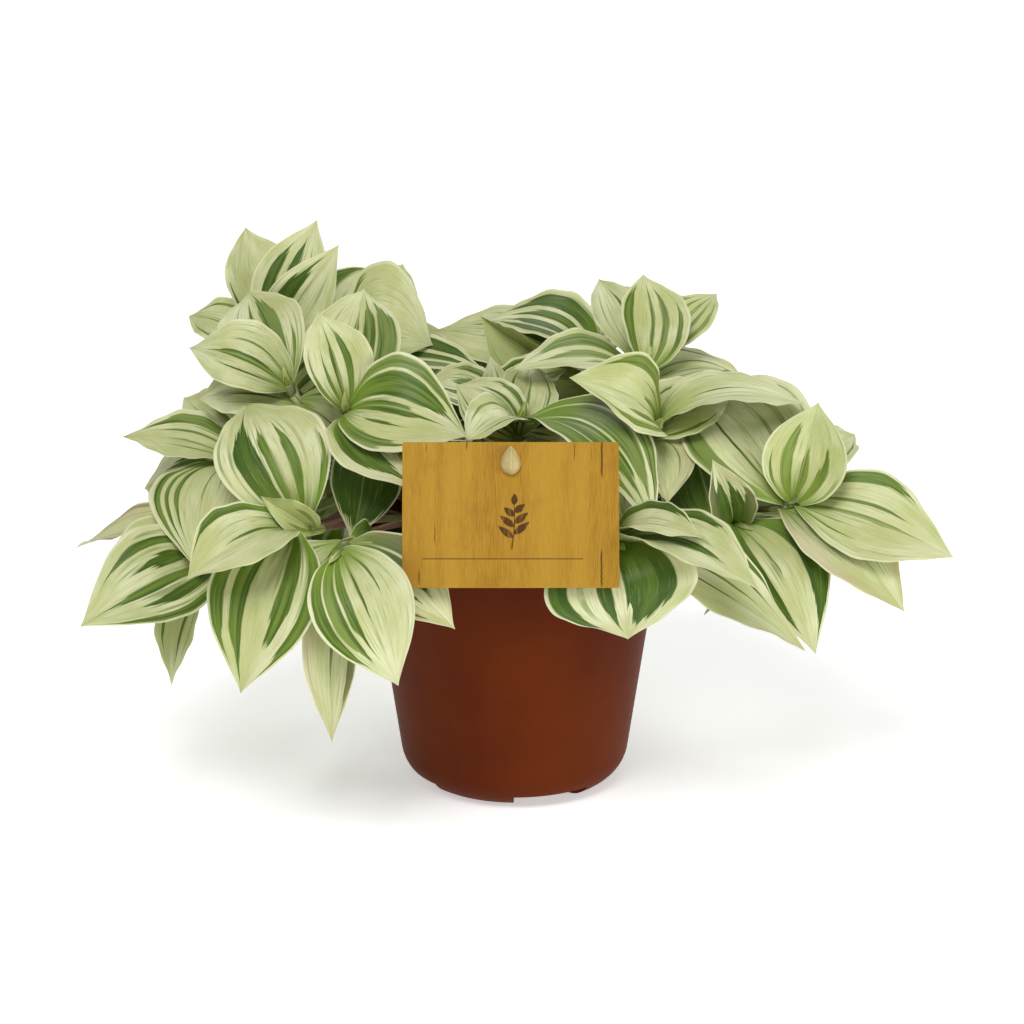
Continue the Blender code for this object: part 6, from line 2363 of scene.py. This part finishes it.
@dataclass(frozen=True)
class Studio:
    """A white floor, soft light, and the camera at the photograph's angle.

    The camera's shift comes from where the pot's axis and the look-at point are in the photograph's
    frame of 1024 by 1024 pixels.
    """

    plot: Plot
    frame_pixels: float = 1024.0
    axis_pixel: float = 514.6
    look_at_pixel: float = 518.3
    lens: float = 130.2
    sensor: float = 36.0
    floor_side: float = 16.0
    surrounding: float = 0.22
    lamps: tuple = (("key_light", (-0.35, -1.4, 1.95), 1.0, 34.0),
                    ("fill_light", (1.7, -0.9, 0.4), 0.9, 12.0),
                    ("back_light", (0.4, 1.6, 1.7), 1.2, 15.0))

    def build_camera(self) -> None:
        """Sets the camera where the eye is."""
        _, _, nearer = EYE.axes()
        data = bpy.data.cameras.new("camera")
        data.lens = self.lens
        data.sensor_width = self.sensor
        data.shift_x = (self.frame_pixels / 2 - self.axis_pixel) / self.frame_pixels
        data.shift_y = (self.look_at_pixel - self.frame_pixels / 2) / self.frame_pixels
        camera = put_in_scene("camera", data)
        camera.location = self.plot.metres(EYE.look_at + nearer * EYE.distance)
        camera.rotation_euler = (-nearer).to_track_quat("-Z", "Y").to_euler()
        bpy.context.scene.camera = camera

    def build_floor(self) -> None:
        """Lays the floor."""
        grid = bmesh.new()
        bmesh.ops.create_grid(grid, x_segments=8, y_segments=8, size=self.floor_side / 2)
        mesh = bpy.data.meshes.new("studio_floor")
        grid.to_mesh(mesh)
        grid.free()
        mesh.materials.append(FloorFinish().make())
        put_in_scene("studio_floor", mesh)

    def soft_box(self, name: str, place: Sequence[float], size: float, power: float, target: Vector) -> None:
        """Hangs a square soft light that faces a target.

        Args:
            name: its name.
            place: where it hangs, in metres.
            size: its side, in metres.
            power: its power in watts.
            target: what it faces.
        """
        data = bpy.data.lights.new(name, "AREA")
        data.shape = "SQUARE"
        data.size = size
        data.energy = power
        lamp = put_in_scene(name, data)
        lamp.location = place
        lamp.rotation_euler = (target - Vector(place)).to_track_quat("-Z", "Y").to_euler()

    def build_light(self) -> None:
        """Sets the surrounding light and the soft boxes."""
        world = bpy.data.worlds.new("studio")
        world.use_nodes = True
        background = world.node_tree.nodes["Background"]
        background.inputs["Color"].default_value = (1.0, 1.0, 1.0, 1.0)
        background.inputs["Strength"].default_value = self.surrounding
        bpy.context.scene.world = world
        target = self.plot.metres(EYE.look_at)
        for lamp in self.lamps:
            self.soft_box(*lamp, target)

    def build(self) -> None:
        """Sets up the studio."""
        self.build_camera()
        self.build_floor()
        self.build_light()
        bpy.context.scene.view_settings.view_transform = "Standard"


def main() -> None:
    """Builds the looks around the frame."""
    logging.basicConfig(level=logging.INFO, format="%(message)s")
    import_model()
    for name in ("Cube", "Light", "Camera"):
        if name in bpy.data.objects:
            bpy.data.objects.remove(bpy.data.objects[name])
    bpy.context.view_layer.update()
    low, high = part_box("pot")
    plot = Plot(Vector(((low.x + high.x) / 2, (low.y + high.y) / 2, 0.0)))
    Studio(plot).build()

    pot, soil, card, stake = Pot(plot), Soil(plot), Card(plot), Stake(plot)
    pot.build()
    soil.build(pot)
    card.build()
    stake.build(card, soil)

    finishes = (LeafFinish().make(), StemFinish().make())
    shoots = Foliage(pot, soil, stake, Thicket(pot, soil, card, stake)).grow()
    maker = LeafyShoot(plot, random.Random(SEED + 2), finishes)
    for name, grown in shoots.items():
        maker.build(name, grown)


if __name__ == "__main__":
    main()
